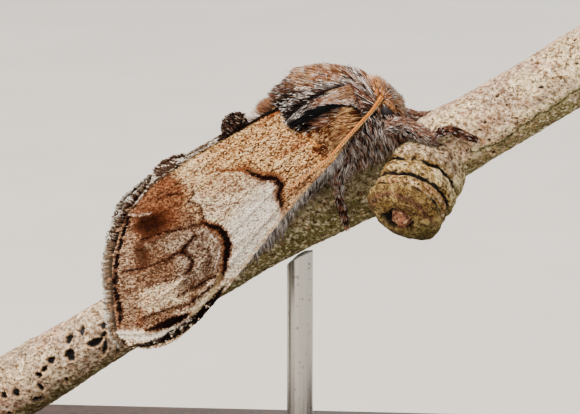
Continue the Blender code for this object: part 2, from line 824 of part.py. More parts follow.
def make_leg(rows, side, name, pieces):
    """A leg whose hip meets the thorax's core across the gap."""
    made = leg(rows, side, name, pieces)
    if "foreleg" in name:
        flip = Vector((1, side, 1))
        locks = []
        for root, tip in THIGH_LOCKS:
            root, tip = Vector(root) * flip, Vector(tip) * flip
            locks.append(straight_lock(root, tip, (1, 0, 0), 0.85, pieces))
        boolean(made, locks, "UNION", "MANIFOLD")
    boolean(made, [body("thorax_air", THORAX_RINGS, pieces, GAP)], "DIFFERENCE")
    if "foreleg" in name:
        boolean(made, [eye_ball(side, "eye_air", pieces, GAP)], "DIFFERENCE")
    return made


def make_stand(pieces):
    bpy.ops.mesh.primitive_cube_add(size=1.0, location=(0, 0, BASE_THICK * MM / 2))
    base = link(bpy.context.object, pieces)
    base.name = "stand_base"
    base.scale = (BASE_LENGTH * MM, BASE_DEPTH * MM, BASE_THICK * MM)
    bpy.ops.object.transform_apply(location=False, rotation=False, scale=True)
    bevel = base.modifiers.new("edge", "BEVEL")
    bevel.width = BASE_EDGE * MM
    bevel.segments = 3
    low = BASE_THICK + GAP
    top = POSE_Z
    bpy.ops.mesh.primitive_cylinder_add(
        vertices=20,
        radius=ROD_RADIUS * MM,
        depth=(top - low) * MM,
        location=(POSE_X * MM, 0, (top + low) * MM / 2),
    )
    rod = link(bpy.context.object, pieces)
    rod.name = "stand_rod"
    bpy.ops.mesh.primitive_cylinder_add(
        vertices=28,
        radius=FLANGE_RADIUS * MM,
        depth=FLANGE_THICK * MM,
        location=(POSE_X * MM, 0, (low + FLANGE_THICK / 2) * MM),
    )
    boolean(rod, [link(bpy.context.object, pieces)], "UNION")
    return base, rod


def main():
    clear_scene()
    moth = make_collection("pebble_prominent_moth")
    pose = bpy.data.objects.new("moth_on_twig", None)
    moth.objects.link(pose)
    pose.location = (POSE_X * MM, 0.0, POSE_Z * MM)
    pose.rotation_euler = (math.radians(ROLL_DEG), math.radians(-PITCH_DEG), 0.0)

    bark = material("bark", (0.42, 0.36, 0.28), 0.85)
    wing_scales = material("forewing_scales", (0.47, 0.31, 0.20), 0.75)
    hind_scales = material("hindwing_scales", (0.55, 0.50, 0.44), 0.75)
    fur = material("thorax_fur", (0.36, 0.26, 0.20), 0.9)
    belly = material("abdomen_fur", (0.45, 0.38, 0.31), 0.9)
    leg_fur = material("leg_fur", (0.34, 0.24, 0.20), 0.9)
    feeler = material("antenna_orange", (0.62, 0.33, 0.10), 0.5)
    eye = material("eye_black", (0.02, 0.02, 0.03), 0.2)
    wood = material("stand_wood", (0.09, 0.06, 0.045), 0.4)
    steel = material("stand_steel", (0.6, 0.6, 0.6), 0.35, 1.0)

    finished = [(make_twig(moth), bark), (make_thorax(moth), fur), (make_head(moth), fur)]
    abdomen = boolean(body("abdomen", ABDOMEN_RINGS, moth), abdomen_locks(moth), "UNION", "MANIFOLD")
    boolean(abdomen, [twig_core("twig_air", moth, GAP)], "DIFFERENCE", "MANIFOLD")
    finished.append((abdomen, belly))
    for word, side in SIDES:
        finished.append((make_forewing(side, f"forewing_{word}", moth), wing_scales))
        finished.append((make_hindwing(side, f"hindwing_{word}", moth), hind_scales))
        feeling = antenna(side, f"antenna_{word}", moth)
        boolean(feeling, [eye_ball(side, "eye_air", moth, GAP)], "DIFFERENCE")
        finished.append((feeling, feeler))
        finished.append((eye_ball(side, f"eye_{word}", moth), eye))
        for kind, rows in legs(side):
            finished.append((make_leg(rows, side, f"{kind}_{word}", moth), leg_fur))
    for made, _ in finished:
        made.parent = pose

    base, rod = make_stand(moth)
    air = twig_core("twig_air", moth, GAP)
    air.parent = pose
    boolean(rod, [air], "DIFFERENCE")
    finished += [(base, wood), (rod, steel)]
    for made, look in finished:
        made.data.materials.clear()
        made.data.materials.append(look)
        if made is not base:
            made.data.shade_smooth()
            made.data.set_sharp_from_angle(angle=math.radians(40))


main()
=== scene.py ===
import math
import bpy
import numpy as np
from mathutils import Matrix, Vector


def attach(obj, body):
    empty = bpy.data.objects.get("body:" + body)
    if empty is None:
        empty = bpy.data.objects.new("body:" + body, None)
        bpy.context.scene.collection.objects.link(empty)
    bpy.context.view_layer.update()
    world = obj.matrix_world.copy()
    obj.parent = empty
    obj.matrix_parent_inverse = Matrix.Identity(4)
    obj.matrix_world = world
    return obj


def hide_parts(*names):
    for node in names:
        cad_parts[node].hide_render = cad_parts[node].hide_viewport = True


# Looks of the pebble prominent moth on its twig and stand. Sizes are in millimetres in the
# moth's own straight frame (head to +X, back to +Z), then turned onto the stand.
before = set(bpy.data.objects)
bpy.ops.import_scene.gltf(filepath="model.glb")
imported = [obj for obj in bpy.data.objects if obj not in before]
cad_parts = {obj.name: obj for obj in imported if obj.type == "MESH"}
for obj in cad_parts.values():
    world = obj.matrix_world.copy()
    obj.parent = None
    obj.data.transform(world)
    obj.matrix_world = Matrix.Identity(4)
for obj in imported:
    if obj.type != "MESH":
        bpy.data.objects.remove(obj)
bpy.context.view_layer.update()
print("frame loaded")

pose = {"pitch": 30.0, "roll": 8.0, "x": 0.45, "z": 18.6}
tiltP, tiltR = math.radians(-pose["pitch"]), math.radians(pose["roll"])
turnY = np.array([[math.cos(tiltP), 0, math.sin(tiltP)], [0, 1, 0], [-math.sin(tiltP), 0, math.cos(tiltP)]])
turnX = np.array([[1, 0, 0], [0, math.cos(tiltR), -math.sin(tiltR)], [0, math.sin(tiltR), math.cos(tiltR)]])
poseTurn = turnY @ turnX


def toStand(points):
    return (np.asarray(points) @ poseTurn.T + np.array([pose["x"], 0.0, pose["z"]])) * 0.001


# Numbers, noise and curves.
def mix(a, b, share):
    return a + (b - a) * share


def mixInk(a, b, share):  # colours blended as the eye sees them, by a number or one for each point
    share = share[:, None] if np.ndim(share) == 1 else share
    return mix(np.maximum(a, 0.0) ** 0.45, np.maximum(b, 0.0) ** 0.45, share) ** (1 / 0.45)


def pack(*columns):  # points, spots or faces from their columns
    return np.stack(columns, -1)


def ramp(low, high, value):
    share = np.clip((np.asarray(value, float) - low) / (high - low), 0.0, 1.0)
    return share * share * (3.0 - 2.0 * share)


def unit(vectors):
    return vectors / np.maximum(np.linalg.norm(vectors, axis=-1, keepdims=True), 1e-9)


def lattice(cells, seed):
    n = cells[..., 0] * 73856093 ^ cells[..., 1] * 19349663 ^ cells[..., 2] * 83492791 ^ (seed + 11) * 2654435
    n = (n ^ (n >> 13)) * 1274126177 & 0xFFFFFFFF
    n = (n ^ (n >> 15)) * 668265263 & 0xFFFFFFFF
    return ((n >> 8) & 0xFFFF) / 32767.5 - 1.0


def cloud(points, size, seed=0, octaves=3):  # smooth noise from -1 to 1
    points = np.asarray(points, float)
    total, weight = np.zeros(points.shape[:-1]), 0.0
    for k in range(octaves):
        p = points / size * 2.0**k + 37.7 * k
        cell = np.floor(p).astype(np.int64)
        f = p - cell
        f = f * f * (3.0 - 2.0 * f)
        value = 0.0
        for corner in range(8):
            step = np.array([corner & 1, corner >> 1 & 1, corner >> 2 & 1])
            share = np.prod(np.where(step, f, 1.0 - f), axis=-1)
            value = value + share * lattice(cell + step, seed + k)
        total += value / 2.0**k
        weight += 1.0 / 2.0**k
    return total / weight * 1.6


def smoothPath(points, count):  # evenly spread points on a smooth curve through the given ones
    given = np.asarray(points, float)
    padded = np.vstack([2 * given[0] - given[1], given, 2 * given[-1] - given[-2]])
    fine = []
    for k in range(len(given) - 1):
        a, b, c, d = padded[k : k + 4]
        t = np.arange(16)[:, None] / 16
        fine.append((b * 2 + (c - a) * t + (a * 2 - b * 5 + c * 4 - d) * t**2 + (b * 3 - a - c * 3 + d) * t**3) / 2)
    fine = np.vstack(fine + [given[-1:]])
    length = np.r_[0, np.cumsum(np.linalg.norm(np.diff(fine, axis=0), axis=1))]
    spots = np.linspace(0, length[-1], count)
    return np.stack([np.interp(spots, length, column) for column in fine.T], -1)


def readPath(path, share):  # the point at each share of the way along a path's rows
    spots = np.linspace(0, 1, len(path))
    return np.stack([np.interp(share, spots, column) for column in path.T], -1)


def toSegment(spots, a, b):  # how far along the segment each spot is, as a share, and its distance from it
    d = b - a
    share = np.clip(((spots - a) @ d) / max(d @ d, 1e-9), 0, 1)
    return share, np.linalg.norm(spots - a - share[..., None] * d, axis=-1)


def pick(chosen, ink, other):  # the first colour where chosen, or else the other
    return np.where(chosen[:, None], ink, other)


def linear(code):  # a colour written as in a paint program, as linear light
    value = np.array([int(code[i : i + 2], 16) for i in (0, 2, 4)]) / 255.0
    return np.where(value <= 0.04045, value / 12.92, ((value + 0.055) / 1.055) ** 2.4)


# Meshes.
paintRichness = 1.14  # how much stronger every painted colour is made


def makeMesh(name, points, faceSets, colours=None, uvs=None):
    mesh = bpy.data.meshes.new(name)
    corners = np.concatenate([np.asarray(f).ravel() for f in faceSets]).astype(np.int32)
    sizes = np.concatenate([np.full(len(f), np.asarray(f).shape[1]) for f in faceSets])
    mesh.vertices.add(len(points))
    mesh.vertices.foreach_set("co", toStand(points).astype(np.float32).ravel())
    mesh.loops.add(len(corners))
    mesh.loops.foreach_set("vertex_index", corners)
    mesh.polygons.add(len(sizes))
    mesh.polygons.foreach_set("loop_start", np.r_[0, np.cumsum(sizes)[:-1]].astype(np.int32))
    mesh.update(calc_edges=True)
    mesh.shade_smooth()
    if colours is not None:
        grey = colours.mean(axis=1, keepdims=True)
        colours = np.clip(grey + (colours - grey) * paintRichness, 0.003, 1.0)
        layer = mesh.color_attributes.new(name="tint", type="FLOAT_COLOR", domain="POINT")
        layer.data.foreach_set("color", np.c_[colours, np.ones(len(colours))].astype(np.float32).ravel())
    if uvs is not None:
        layer = mesh.uv_layers.new(name="OFBake")
        layer.uv.foreach_set("vector", np.asarray(uvs)[corners].astype(np.float32).ravel())
    return mesh


def addPiece(mesh, finish, slot, *nodes):
    piece = bpy.data.objects.new(mesh.name, mesh)
    bpy.context.scene.collection.objects.link(piece)
    mesh.materials.append(finish)
    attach(piece, "root")
    if nodes:
        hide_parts(*nodes)


def gridFaces(rows, columns, closed=True):
    i, j = np.meshgrid(np.arange(rows - 1), np.arange(columns if closed else columns - 1), indexing="ij")
    k = (j + 1) % columns
    return pack(i * columns + j, i * columns + k, (i + 1) * columns + k, (i + 1) * columns + j).reshape(-1, 4)


def capFaces(ring, centre, flip=False):
    pairs = pack(np.roll(ring, -1), ring)
    faces = np.c_[pairs, np.full(len(ring), centre)]
    return faces[:, ::-1] if flip else faces


def tubeFaces(rings, sides):  # a closed tube, whose two end points come last
    n = rings * sides
    return [gridFaces(rings, sides), capFaces(np.arange(sides), n), capFaces(np.arange(n - sides, n), n + 1, True)]


def patchSpots(rootUV, along, across):  # each tuft's own small patch of the bake map
    return rootUV[:, None, :] + 0.0014 * pack(along, across)[None]


def growTufts(name, roots, bends, tips, across, width, thick, inkRoot, inkTip, rootUV):
    # Closed tapering tufts: a flat triangular section at root and bend, and a point at the tip.
    count = len(roots)
    width, thick = np.broadcast_to(width, count)[:, None], np.broadcast_to(thick, count)[:, None]
    along = unit(tips - roots)
    across = unit(across - along * np.sum(across * along, -1, keepdims=True))
    up = np.cross(along, across)
    rings = []
    for centre, wide in ((roots, 0.8), (bends, 1.0)):
        rings += [centre + across * width * wide / 2, centre + up * thick, centre - across * width * wide / 2]
    points = np.stack(rings + [tips], 1)
    faces = np.array(
        [[2, 1, 0], [0, 1, 4], [0, 4, 3], [1, 2, 5], [1, 5, 4], [2, 0, 3], [2, 3, 5], [3, 4, 6], [4, 5, 6], [5, 3, 6]]
    )
    faces = (faces[None] + 7 * np.arange(count)[:, None, None]).reshape(-1, 3)
    middle = mix(inkRoot, inkTip, 0.72)
    colours = np.stack([inkRoot] * 3 + [middle] * 3 + [inkTip], 1).reshape(-1, 3)
    spots = patchSpots(rootUV, np.array([-1, -1, -1, 0.2, 0.2, 0.2, 1]), np.array([1, 0, -1, 1, 0, -1, 0]))
    return makeMesh(name, points.reshape(-1, 3), [faces], colours, spots.reshape(-1, 2))


def growScales(name, roots, along, across, normal, length, width, tilt, ink, rootUV, inkTip=None):
    # Closed wedge-shaped wing scales that overlap like tiles, root end under, tip end raised.
    count = len(roots)
    length, width, tilt = (np.broadcast_to(v, count)[:, None] for v in (length, width, tilt))
    tip = roots + along * length + normal * tilt
    points = np.stack(
        [
            roots + across * width * 0.32 - normal * 0.03,
            roots - across * width * 0.32 - normal * 0.03,
            tip - across * width * 0.5,
            tip + across * width * 0.5,
            tip - normal * tilt * 1.1 - along * length * 0.25,
        ],
        1,
    )
    faces = np.array([[0, 3, 2], [0, 2, 1], [3, 4, 2], [0, 4, 3], [1, 2, 4], [0, 1, 4]])
    faces = (faces[None, :, ::-1] + 5 * np.arange(count)[:, None, None]).reshape(-1, 3)
    inkTip = ink if inkTip is None else inkTip
    # Painted light and shade on each scale: the root end (x0.86) and the point under the tip (x0.8) are darkened as
    # painted shade, and the tip end (x1.06) is lightened as a painted highlight.
    colours = np.stack(
        [ink * 0.86, ink * 0.86, inkTip * 1.06, inkTip * 1.06, mix(ink, inkTip, 0.4) * 0.8], 1
    ).reshape(-1, 3)
    spots = patchSpots(rootUV, np.array([-1, -1, 1, 1, 0.5]), np.array([1, -1, -1, 1, 0]))
    return makeMesh(name, points.reshape(-1, 3), [faces], colours, spots.reshape(-1, 2))


# The folded wings' roof.
roof = {"ridge": 7.0, "shoulder": 30.0, "shoulderWide": 0.8, "steepen": 58.0, "length": 9.8, "step": 0.05}


def roofTable():
    rows = [(0.0, 0.0, roof["ridge"], 0.0)]
    while rows[-1][0] < 12.0:
        q, y, z, _ = rows[-1]
        q += roof["step"]
        angle = math.radians(
            roof["shoulder"] * float(ramp(0, roof["shoulderWide"], q)) + roof["steepen"] * q / roof["length"]
        )
        rows.append((q, y + roof["step"] * math.cos(angle), z - roof["step"] * math.sin(angle), angle))
    return np.array(rows)


roofRows = roofTable()


def roofPoint(x, q, side, out=0.0):
    y, z, angle = (np.interp(q, roofRows[:, 0], roofRows[:, k]) for k in (1, 2, 3))
    return pack(x + 0 * y, side * (y + out * np.sin(angle)), z + out * np.cos(angle))


def roofNormal(q, side):
    angle = np.interp(q, roofRows[:, 0], roofRows[:, 3])
    return pack(0 * angle, side * np.sin(angle), np.cos(angle))


wing = {
    "costa": (
        (6.1, 4.5), (4.5, 5.45), (1.6, 6.45), (-1.3, 7.65), (-4.6, 9.0), (-7.85, 10.15), (-10.3, 10.4), (-12.5, 9.3)
    ),
    "dorsum": ((5.9, 3.1), (4.7, 1.6), (3.4, 0.5), (1.8, 0.16), (-3.0, 0.16), (-6.6, 0.4)),
    "termen": (
        (-12.5, 9.3), (-12.7, 8.3), (-12.25, 6.8), (-11.7, 5.6), (-11.1, 4.1), (-9.9, 2.5), (-8.7, 1.3), (-6.6, 0.4)
    ),
    "fringe": (0.20, 0.42, 0.50, 0.52, 0.56, 0.62, 0.66, 0.30),  # length of the fringe at each termen point
    "veins": 7,
    "veinRise": 0.075,
    "thick": 0.16,
    "rows": 116,
    "columns": 64,
    "sink": 0.06,
    "long": 20.5,
    "scaleStep": 0.090,
    "scaleGap": 0.045,
    "scaleLong": 0.19,
    "scaleWide": 0.070,
}


def patchPoint(s, t, costa, dorsum, termen):  # place on the wing between its four edges
    s, t = np.broadcast_arrays(s, t)
    out, down = s[..., None], t[..., None]
    root = mix(costa[0], dorsum[0], down)
    sides = mix(readPath(costa, s), readPath(dorsum, s), down) + root * (1 - out) + readPath(termen, t) * out
    return sides - root * (1 - out) - mix(termen[0], termen[-1], down) * out


def wingEdges():
    outer = smoothPath(wing["termen"], 160)
    length = np.r_[0, np.cumsum(np.linalg.norm(np.diff(outer, axis=0), axis=1))]
    knots = [length[np.argmin(np.linalg.norm(outer - p, axis=1))] for p in np.array(wing["termen"])]
    deep = np.interp(length, knots, wing["fringe"])
    way = unit(np.gradient(outer, axis=0))
    inner = outer + pack(-way[:, 1], way[:, 0]) * deep[:, None]
    costa, dorsum = smoothPath(wing["costa"], 160), smoothPath(wing["dorsum"], 160)
    costa[:, :] = mix(costa, costa + (inner[0] - costa[-1]), (np.arange(160) / 159)[:, None] ** 6)
    dorsum[:, :] = mix(dorsum, dorsum + (inner[-1] - dorsum[-1]), (np.arange(160) / 159)[:, None] ** 6)
    return costa, dorsum, inner, outer


costaLine, dorsumLine, innerLine, outerLine = wingEdges()


def wingPlace(s, t):
    return patchPoint(s, t, costaLine, dorsumLine, innerLine)


def veinRelief(s, t):
    relief = 0.0
    for k in range(wing["veins"]):
        away = np.abs(t - (3 * k + 2) / 21.0)
        relief = relief + np.exp(-((away / 0.011) ** 2)) * ramp(0.02, 0.2, s)
    return relief


# The forewing's markings, painted in layers over (x, q).
inks = {name: linear(code) for name, code in {
    "cream": "efdabd", "white": "fff9ee", "tan": "b28e6c", "gold": "c99e6e", "rust": "6e3f29", "umber": "421f13",
    "dark": "0e0402", "mid": "85705c", "grey": "988a7c", "smoke": "5c4c40", "edge": "a98c76", "ochre": "b87d48",
    "redLine": "8e4a2c", "black": "0e0c0c", "olive": "b5a07a", "sand": "d8b686", "straw": "ffdfa6",
}.items()}


def strokeMask(spots, path, half, soft=0.06):  # 1 on a line of the given half width, or of one for each point
    path = np.asarray(path, float)
    half = np.broadcast_to(np.asarray(half, float), len(path))
    best = np.full(spots.shape[:-1], -9.0)
    for a, b, wa, wb in zip(path, path[1:], half, half[1:]):
        share, away = toSegment(spots, a, b)
        best = np.maximum(best, mix(wa, wb, share) - away)
    return ramp(-soft, soft, best)


def blotMask(spots, centre, radii, turn=0.0, soft=0.35):
    c, s = math.cos(math.radians(turn)), math.sin(math.radians(turn))
    d = spots - np.array(centre)
    away = np.hypot((d[..., 0] * c + d[..., 1] * s) / radii[0], (d[..., 1] * c - d[..., 0] * s) / radii[1])
    return 1.0 - ramp(1 - soft, 1 + soft, away)


def fieldMask(spots, outline, soft=0.2):  # 1 inside an outline
    outline = np.asarray(outline, float)
    inside = np.zeros(spots.shape[:-1], bool)
    near = np.full(spots.shape[:-1], 99.0)
    for a, b in zip(outline, np.roll(outline, -1, axis=0)):
        crosses = (a[1] > spots[..., 1]) != (b[1] > spots[..., 1])
        at = (b[0] - a[0]) * (spots[..., 1] - a[1]) / (b[1] - a[1] + 1e-12) + a[0]
        inside ^= crosses & (spots[..., 0] < at)
        near = np.minimum(near, toSegment(spots, a, b)[1])
    return ramp(-soft, soft, np.where(inside, near, -near))


marks = {
    "baseSpots": ((4.15, 3.46), (3.95, 4.6)),
    "baseTufts": ((4.15, 3.46), (3.95, 4.62)),
    "basalEdge": (
        (-3.4, 0.0), (-2.7, 1.95), (-1.95, 2.4), (-1.2, 2.9), (-0.5, 3.35), (-0.3, 3.8), (0.2, 4.45), (0.8, 4.8),
        (0.95, 5.4), (0.5, 5.9), (0.4, 6.6), (0.5, 7.6)
    ),
    "thinRed": ((-2.9, 2.2), (-2.25, 2.38), (-1.57, 2.79), (-0.87, 3.13), (-0.45, 3.45)),
    "bar": ((-0.5, 3.35), (-0.3, 3.8), (0.2, 4.4), (0.8, 4.75), (0.95, 5.35), (0.5, 5.85), (0.4, 6.6)),
    "outerField": (
        (-4.7, 0.0), (-4.7, 1.5), (-4.25, 2.35), (-4.0, 3.0), (-4.6, 3.4), (-3.95, 4.2), (-4.15, 4.75), (-3.7, 5.55),
        (-3.45, 6.25), (-3.55, 6.8), (-4.05, 7.35), (-4.5, 7.85), (-5.0, 8.1), (-5.8, 8.35), (-7.3, 8.9), (-8.6, 9.0),
        (-10.2, 8.9), (-11.7, 8.6), (-12.6, 8.0), (-11.2, 4.5), (-9.0, 1.4), (-7.0, 0.0)
    ),
    "insideCrescent": (
        (-5.6, 4.75), (-4.3, 5.3), (-3.9, 6.3), (-4.2, 7.2), (-5.0, 7.8), (-6.4, 7.9), (-7.4, 7.6), (-6.9, 6.6),
        (-6.6, 5.9), (-7.3, 5.1)
    ),
    "greyTop": ((-7.8, 4.6), (-7.0, 4.75), (-6.2, 4.8), (-5.2, 5.0), (-4.6, 5.1)),
    "crescent": (
        (-4.35, 4.98), (-3.98, 5.28), (-3.63, 5.66), (-3.42, 6.2), (-3.50, 6.85), (-3.87, 7.38), (-4.3, 7.85),
        (-4.7, 8.25), (-5.2, 8.6)
    ),
    "crescentHalf": (0.03, 0.10, 0.17, 0.22, 0.23, 0.20, 0.13, 0.08, 0.04),
    "crescentGlow": ((-4.3, 5.6), (-4.0, 6.2), (-4.05, 6.8), (-4.45, 7.25), (-4.9, 7.6)),
    "lines": (  # points, half width, strength
        (((-5.0, 5.47), (-5.62, 5.6), (-6.25, 5.88)), 0.075, 0.95),
        (((-6.19, 5.91), (-5.95, 6.24), (-5.93, 6.73), (-6.27, 7.09), (-6.6, 7.18)), 0.085, 0.85),
        (((-7.65, 8.1), (-6.96, 8.08), (-6.28, 8.1), (-5.6, 8.13), (-4.81, 8.22)), 0.06, 0.9),
        (((-7.4, 8.86), (-6.51, 8.74), (-5.9, 8.65), (-5.3, 8.57), (-4.96, 8.48)), 0.06, 0.9),
        (((-10.09, 5.3), (-8.99, 5.62), (-7.97, 5.83), (-6.88, 5.88), (-6.19, 5.91)), 0.05, 0.9),
        (((-8.12, 4.09), (-7.32, 4.18), (-6.2, 4.49), (-5.22, 4.79), (-4.46, 4.93)), 0.055, 0.9),
        (((-3.96, 2.48), (-4.04, 3.04), (-4.57, 3.31), (-3.99, 3.93), (-4.03, 4.62), (-4.46, 4.93)), 0.04, 0.7),
        (((-6.25, 2.2), (-5.55, 2.25), (-4.75, 2.6)), 0.06, 0.7),
        (((-10.2, 8.35), (-8.6, 8.55), (-7.3, 8.8)), 0.035, 0.7),
        (((-5.1, 6.1), (-4.75, 6.6), (-4.95, 7.2), (-5.5, 7.6)), 0.05, 0.55),
        (((-10.6, 6.6), (-9.2, 6.75), (-8.2, 6.95), (-7.2, 7.1)), 0.03, 0.5),
        (((-2.4, 4.1), (-0.9, 4.35), (0.0, 4.7)), 0.03, 0.35),
        (((-3.6, 4.4), (-1.6, 5.0), (0.2, 5.7)), 0.025, 0.3),
        (((-3.3, 7.3), (-1.0, 6.9), (1.2, 6.2)), 0.02, 0.3),
    ),
    "creamField": (
        (-10.1, 7.2), (-9.2, 6.85), (-7.9, 7.05), (-7.0, 7.3), (-6.9, 8.2), (-7.3, 8.65), (-8.6, 8.5), (-10.2, 8.25)
    ),
    "smudges": (
        ((-6.5, 7.1), (0.34, 0.26), 20), ((-5.85, 6.5), (0.34, 0.30), 60), ((-5.9, 5.95), (0.34, 0.24), 60),
        ((-5.2, 7.5), (0.5, 0.2), 20), ((-6.9, 7.75), (0.6, 0.22), 5)
    ),
    "dashes": (
        ((-8.5, 2.38), (-8.9, 2.84), (-9.18, 3.18)), ((-9.4, 3.46), (-9.8, 3.92)), ((-10.03, 4.25), (-10.39, 4.86)),
        ((-10.6, 5.2), (-10.88, 5.72)),
        ((-10.99, 6.02), (-11.18, 6.58)), ((-11.26, 6.84), (-11.42, 7.28)), ((-11.52, 7.5), (-11.7, 7.88)),
    ),
    "darkBar": ((-10.45, 9.08), (-9.8, 9.2), (-9.0, 9.3), (-8.3, 9.36), (-7.6, 9.40)),
    "darkBarHalf": (0.03, 0.18, 0.26, 0.19, 0.03),
    "oliveLine": ((-7.6, 9.5), (-6.6, 9.4), (-5.6, 8.87), (-4.85, 8.25)),
    "costaStrip": ((-11.9, 8.6), (-11.2, 9.1), (-10.3, 9.7), (-9.2, 9.78), (-8.2, 9.8), (-7.2, 9.6), (-6.2, 9.25)),
    "costaDark": (
        (-12.0, 9.45), (-10.9, 9.9), (-9.9, 10.04), (-8.8, 10.0), (-7.3, 9.82), (-6.2, 9.48), (-5.4, 9.18), (-4.9, 8.95)
    ),
    "costaDarkHalf": (0.06, 0.15, 0.22, 0.26, 0.28, 0.24, 0.16, 0.04),
    "dorsumBlack": ((3.1, 0.7), (2.0, 0.45), (0.85, 0.24), (-0.4, 0.24), (-1.55, 0.22)),
    "dorsumEdge": ((-1.5, 0.2), (-2.9, 0.26), (-4.3, 0.3), (-5.5, 0.62), (-6.6, 0.95), (-7.9, 1.7)),
}


def wingInk(spots, seed, rough=1.0):
    # Colour of the forewing at (x, q): blended areas, then lines, then flecks drawn scale by scale.
    chance = np.random.default_rng(seed)
    flat = np.c_[spots, np.zeros(len(spots))]
    wander = pack(cloud(flat, 0.55, 1), cloud(flat, 0.55, 5))
    fine = pack(cloud(flat, 0.16, 9, 2), cloud(flat, 0.16, 13, 2))
    p = spots + 0.16 * wander + 0.05 * fine
    sharp = spots + 0.05 * wander + 0.03 * fine
    streak = cloud(np.c_[spots[:, 0] * 0.35, spots[:, 1] * 1.5, np.zeros(len(spots))], 0.5, 21)
    x, q = p[:, 0], p[:, 1]
    n = len(spots)
    tone = {name: ink**0.45 for name, ink in inks.items()}  # blended as the eye sees them
    colour = np.tile(tone["cream"], (n, 1))
    warm = np.full(n, 0.35)  # how far flecks are rusty
    busy = np.full(n, 0.42)  # how often a scale is a fleck

    def lay(mask, ink, busyTo=None, warmTo=None):
        nonlocal colour, warm, busy
        colour = mix(colour, tone[ink] if isinstance(ink, str) else ink, mask[:, None])
        if busyTo is not None:
            busy = mix(busy, busyTo, mask)
        if warmTo is not None:
            warm = mix(warm, warmTo, mask)

    lay(0.30 * ramp(0.0, 0.8, streak), "sand")
    lay(0.75 * blotMask(p, (-2.4, 1.5), (3.3, 1.6), 8, 0.5), "sand", 0.45, 0.7)
    lay(0.55 * blotMask(p, (-2.2, 3.4), (1.8, 0.8), 20, 0.5), "tan", 0.4, 0.7)
    edge = np.array(marks["basalEdge"])
    order = np.argsort(edge[:, 1])
    basal = ramp(-0.35, 0.35, x - np.interp(q, edge[order, 1], edge[order, 0]))
    lay(0.92 * basal, "gold", 0.62, 0.85)
    lay(0.62 * basal * ramp(0.1, 0.9, streak), "rust")
    lay(0.40 * basal * ramp(0.2, 0.9, -streak), "cream")
    lay(0.35 * basal * ramp(4.8, 6.6, q), "mid", 0.7, 0.5)
    lay(0.75 * ramp(3.0, 4.2, x), "ochre", 0.3, 0.9)
    for centre in marks["baseSpots"]:
        lay(blotMask(p, centre, (0.42, 0.24), 20, 0.4), "umber")

    lay(0.95 * blotMask(p, (-1.2, 6.8), (3.8, 1.7), -22, 0.5) * (1 - basal), "white", 0.16, 0.3)
    outerField = fieldMask(p, marks["outerField"], 0.18)
    lay(0.95 * outerField, mix(mix(tone["tan"], tone["umber"], 0.56), tone["smoke"], 0.30), 0.68, 0.42)
    lay(
        0.75 * outerField * blotMask(p, (-5.9, 2.2), (1.9, 1.3), 15, 0.5), mix(tone["rust"], tone["tan"], 0.15), 0.6,
        0.75
    )
    lay(0.45 * outerField * blotMask(p, (-6.8, 3.5), (1.7, 1.0), 15, 0.5), "rust", 0.6, 0.55)
    lay(0.55 * outerField * blotMask(p, (-9.6, 4.6), (0.9, 2.2), 28, 0.5), "edge", 0.5, 0.6)
    lay(0.85 * fieldMask(p, marks["insideCrescent"], 0.3), mix(tone["grey"], tone["mid"], 0.35), 0.85, 0.25)
    lay(0.75 * strokeMask(p, marks["greyTop"], 0.42, 0.25), "mid", 0.7, 0.2)
    lay(0.55 * blotMask(p, (-6.1, 7.9), (1.3, 0.45), 5, 0.5), "smoke", 0.7, 0.2)
    lay(0.75 * blotMask(p, (-7.0, 3.40), (1.20, 0.80), 25, 0.45), "umber", 0.45, 0.8)
    lay(0.95 * blotMask(p, (-7.25, 3.36), (0.86, 0.62), 25, 0.45), mix(tone["umber"], tone["dark"], 0.7), 0.2, 0.8)
    lay(0.70 * blotMask(p, (-7.7, 4.35), (0.5, 0.3), 60, 0.5), "umber")
    lay(0.88 * blotMask(p, (-8.65, 4.85), (0.85, 0.42), 112, 0.5), mix(tone["umber"], tone["dark"], 0.5), 0.35, 0.8)
    lay(0.65 * blotMask(p, (-9.3, 6.0), (0.75, 0.28), 112, 0.5), "rust", 0.5, 0.8)
    lay(0.55 * blotMask(p, (-5.3, 1.3), (0.9, 0.35), 20, 0.5), "rust")
    lay(0.60 * blotMask(p, (-10.0, 6.4), (0.9, 2.5), 20, 0.5) * outerField, "mid", 0.75, 0.2)
    lay(0.90 * fieldMask(p, marks["creamField"], 0.25), "cream", 0.35, 0.5)
    lay(0.50 * blotMask(p, (-9.6, 7.3), (0.35, 0.6), 10, 0.5), "tan")
    lay(0.60 * strokeMask(sharp, ((-10.2, 7.9), (-10.5, 8.5)), 0.22, 0.2), "rust")
    lay(0.50 * strokeMask(sharp, ((-8.4, 2.0), (-7.9, 2.45), (-7.6, 2.6), (-6.9, 2.75)), 0.06, 0.07), "white")
    lay(
        0.60 * strokeMask(sharp, ((-4.55, 2.5), (-4.35, 3.0), (-4.9, 3.5), (-4.3, 4.1), (-4.5, 4.6)), 0.13, 0.1), "sand"
    )
    for centre, radii, turn in marks["smudges"]:
        lay(0.70 * blotMask(p, centre, radii, turn, 0.5), "smoke")

    streaky = 0.85 * cloud(np.c_[spots * (0.5, 1.0), np.zeros(n)], 0.040, 33, 1) + chance.uniform(-0.45, 0.45, n)
    darkFleck = ramp(0.12, 0.45, -streaky) * np.clip(busy * 1.7, 0, 0.95) * min(rough, 1.0)
    paleFleck = ramp(0.08, 0.45, streaky) * (0.60 + 0.4 * busy) * rough
    rusty = mix(mix(tone["smoke"], tone["umber"], 0.4), mix(tone["rust"], tone["umber"], 0.7), warm[:, None])
    shine = np.clip(colour.mean(1, keepdims=True) * 1.9 - 0.4, 0.10, 1.0)
    colour = mix(colour, rusty, (0.95 * darkFleck)[:, None])
    glint = mix(tone["white"], tone["straw"], warm[:, None] * 0.9)
    colour = mix(colour, mix(colour * 1.25, glint, 0.80 * shine), np.clip(paleFleck, 0, 1)[:, None])
    odd = (chance.random(n) < 0.06 * rough)[:, None]
    colour = np.where(odd, mix(colour, tone["umber"], 0.65), colour)

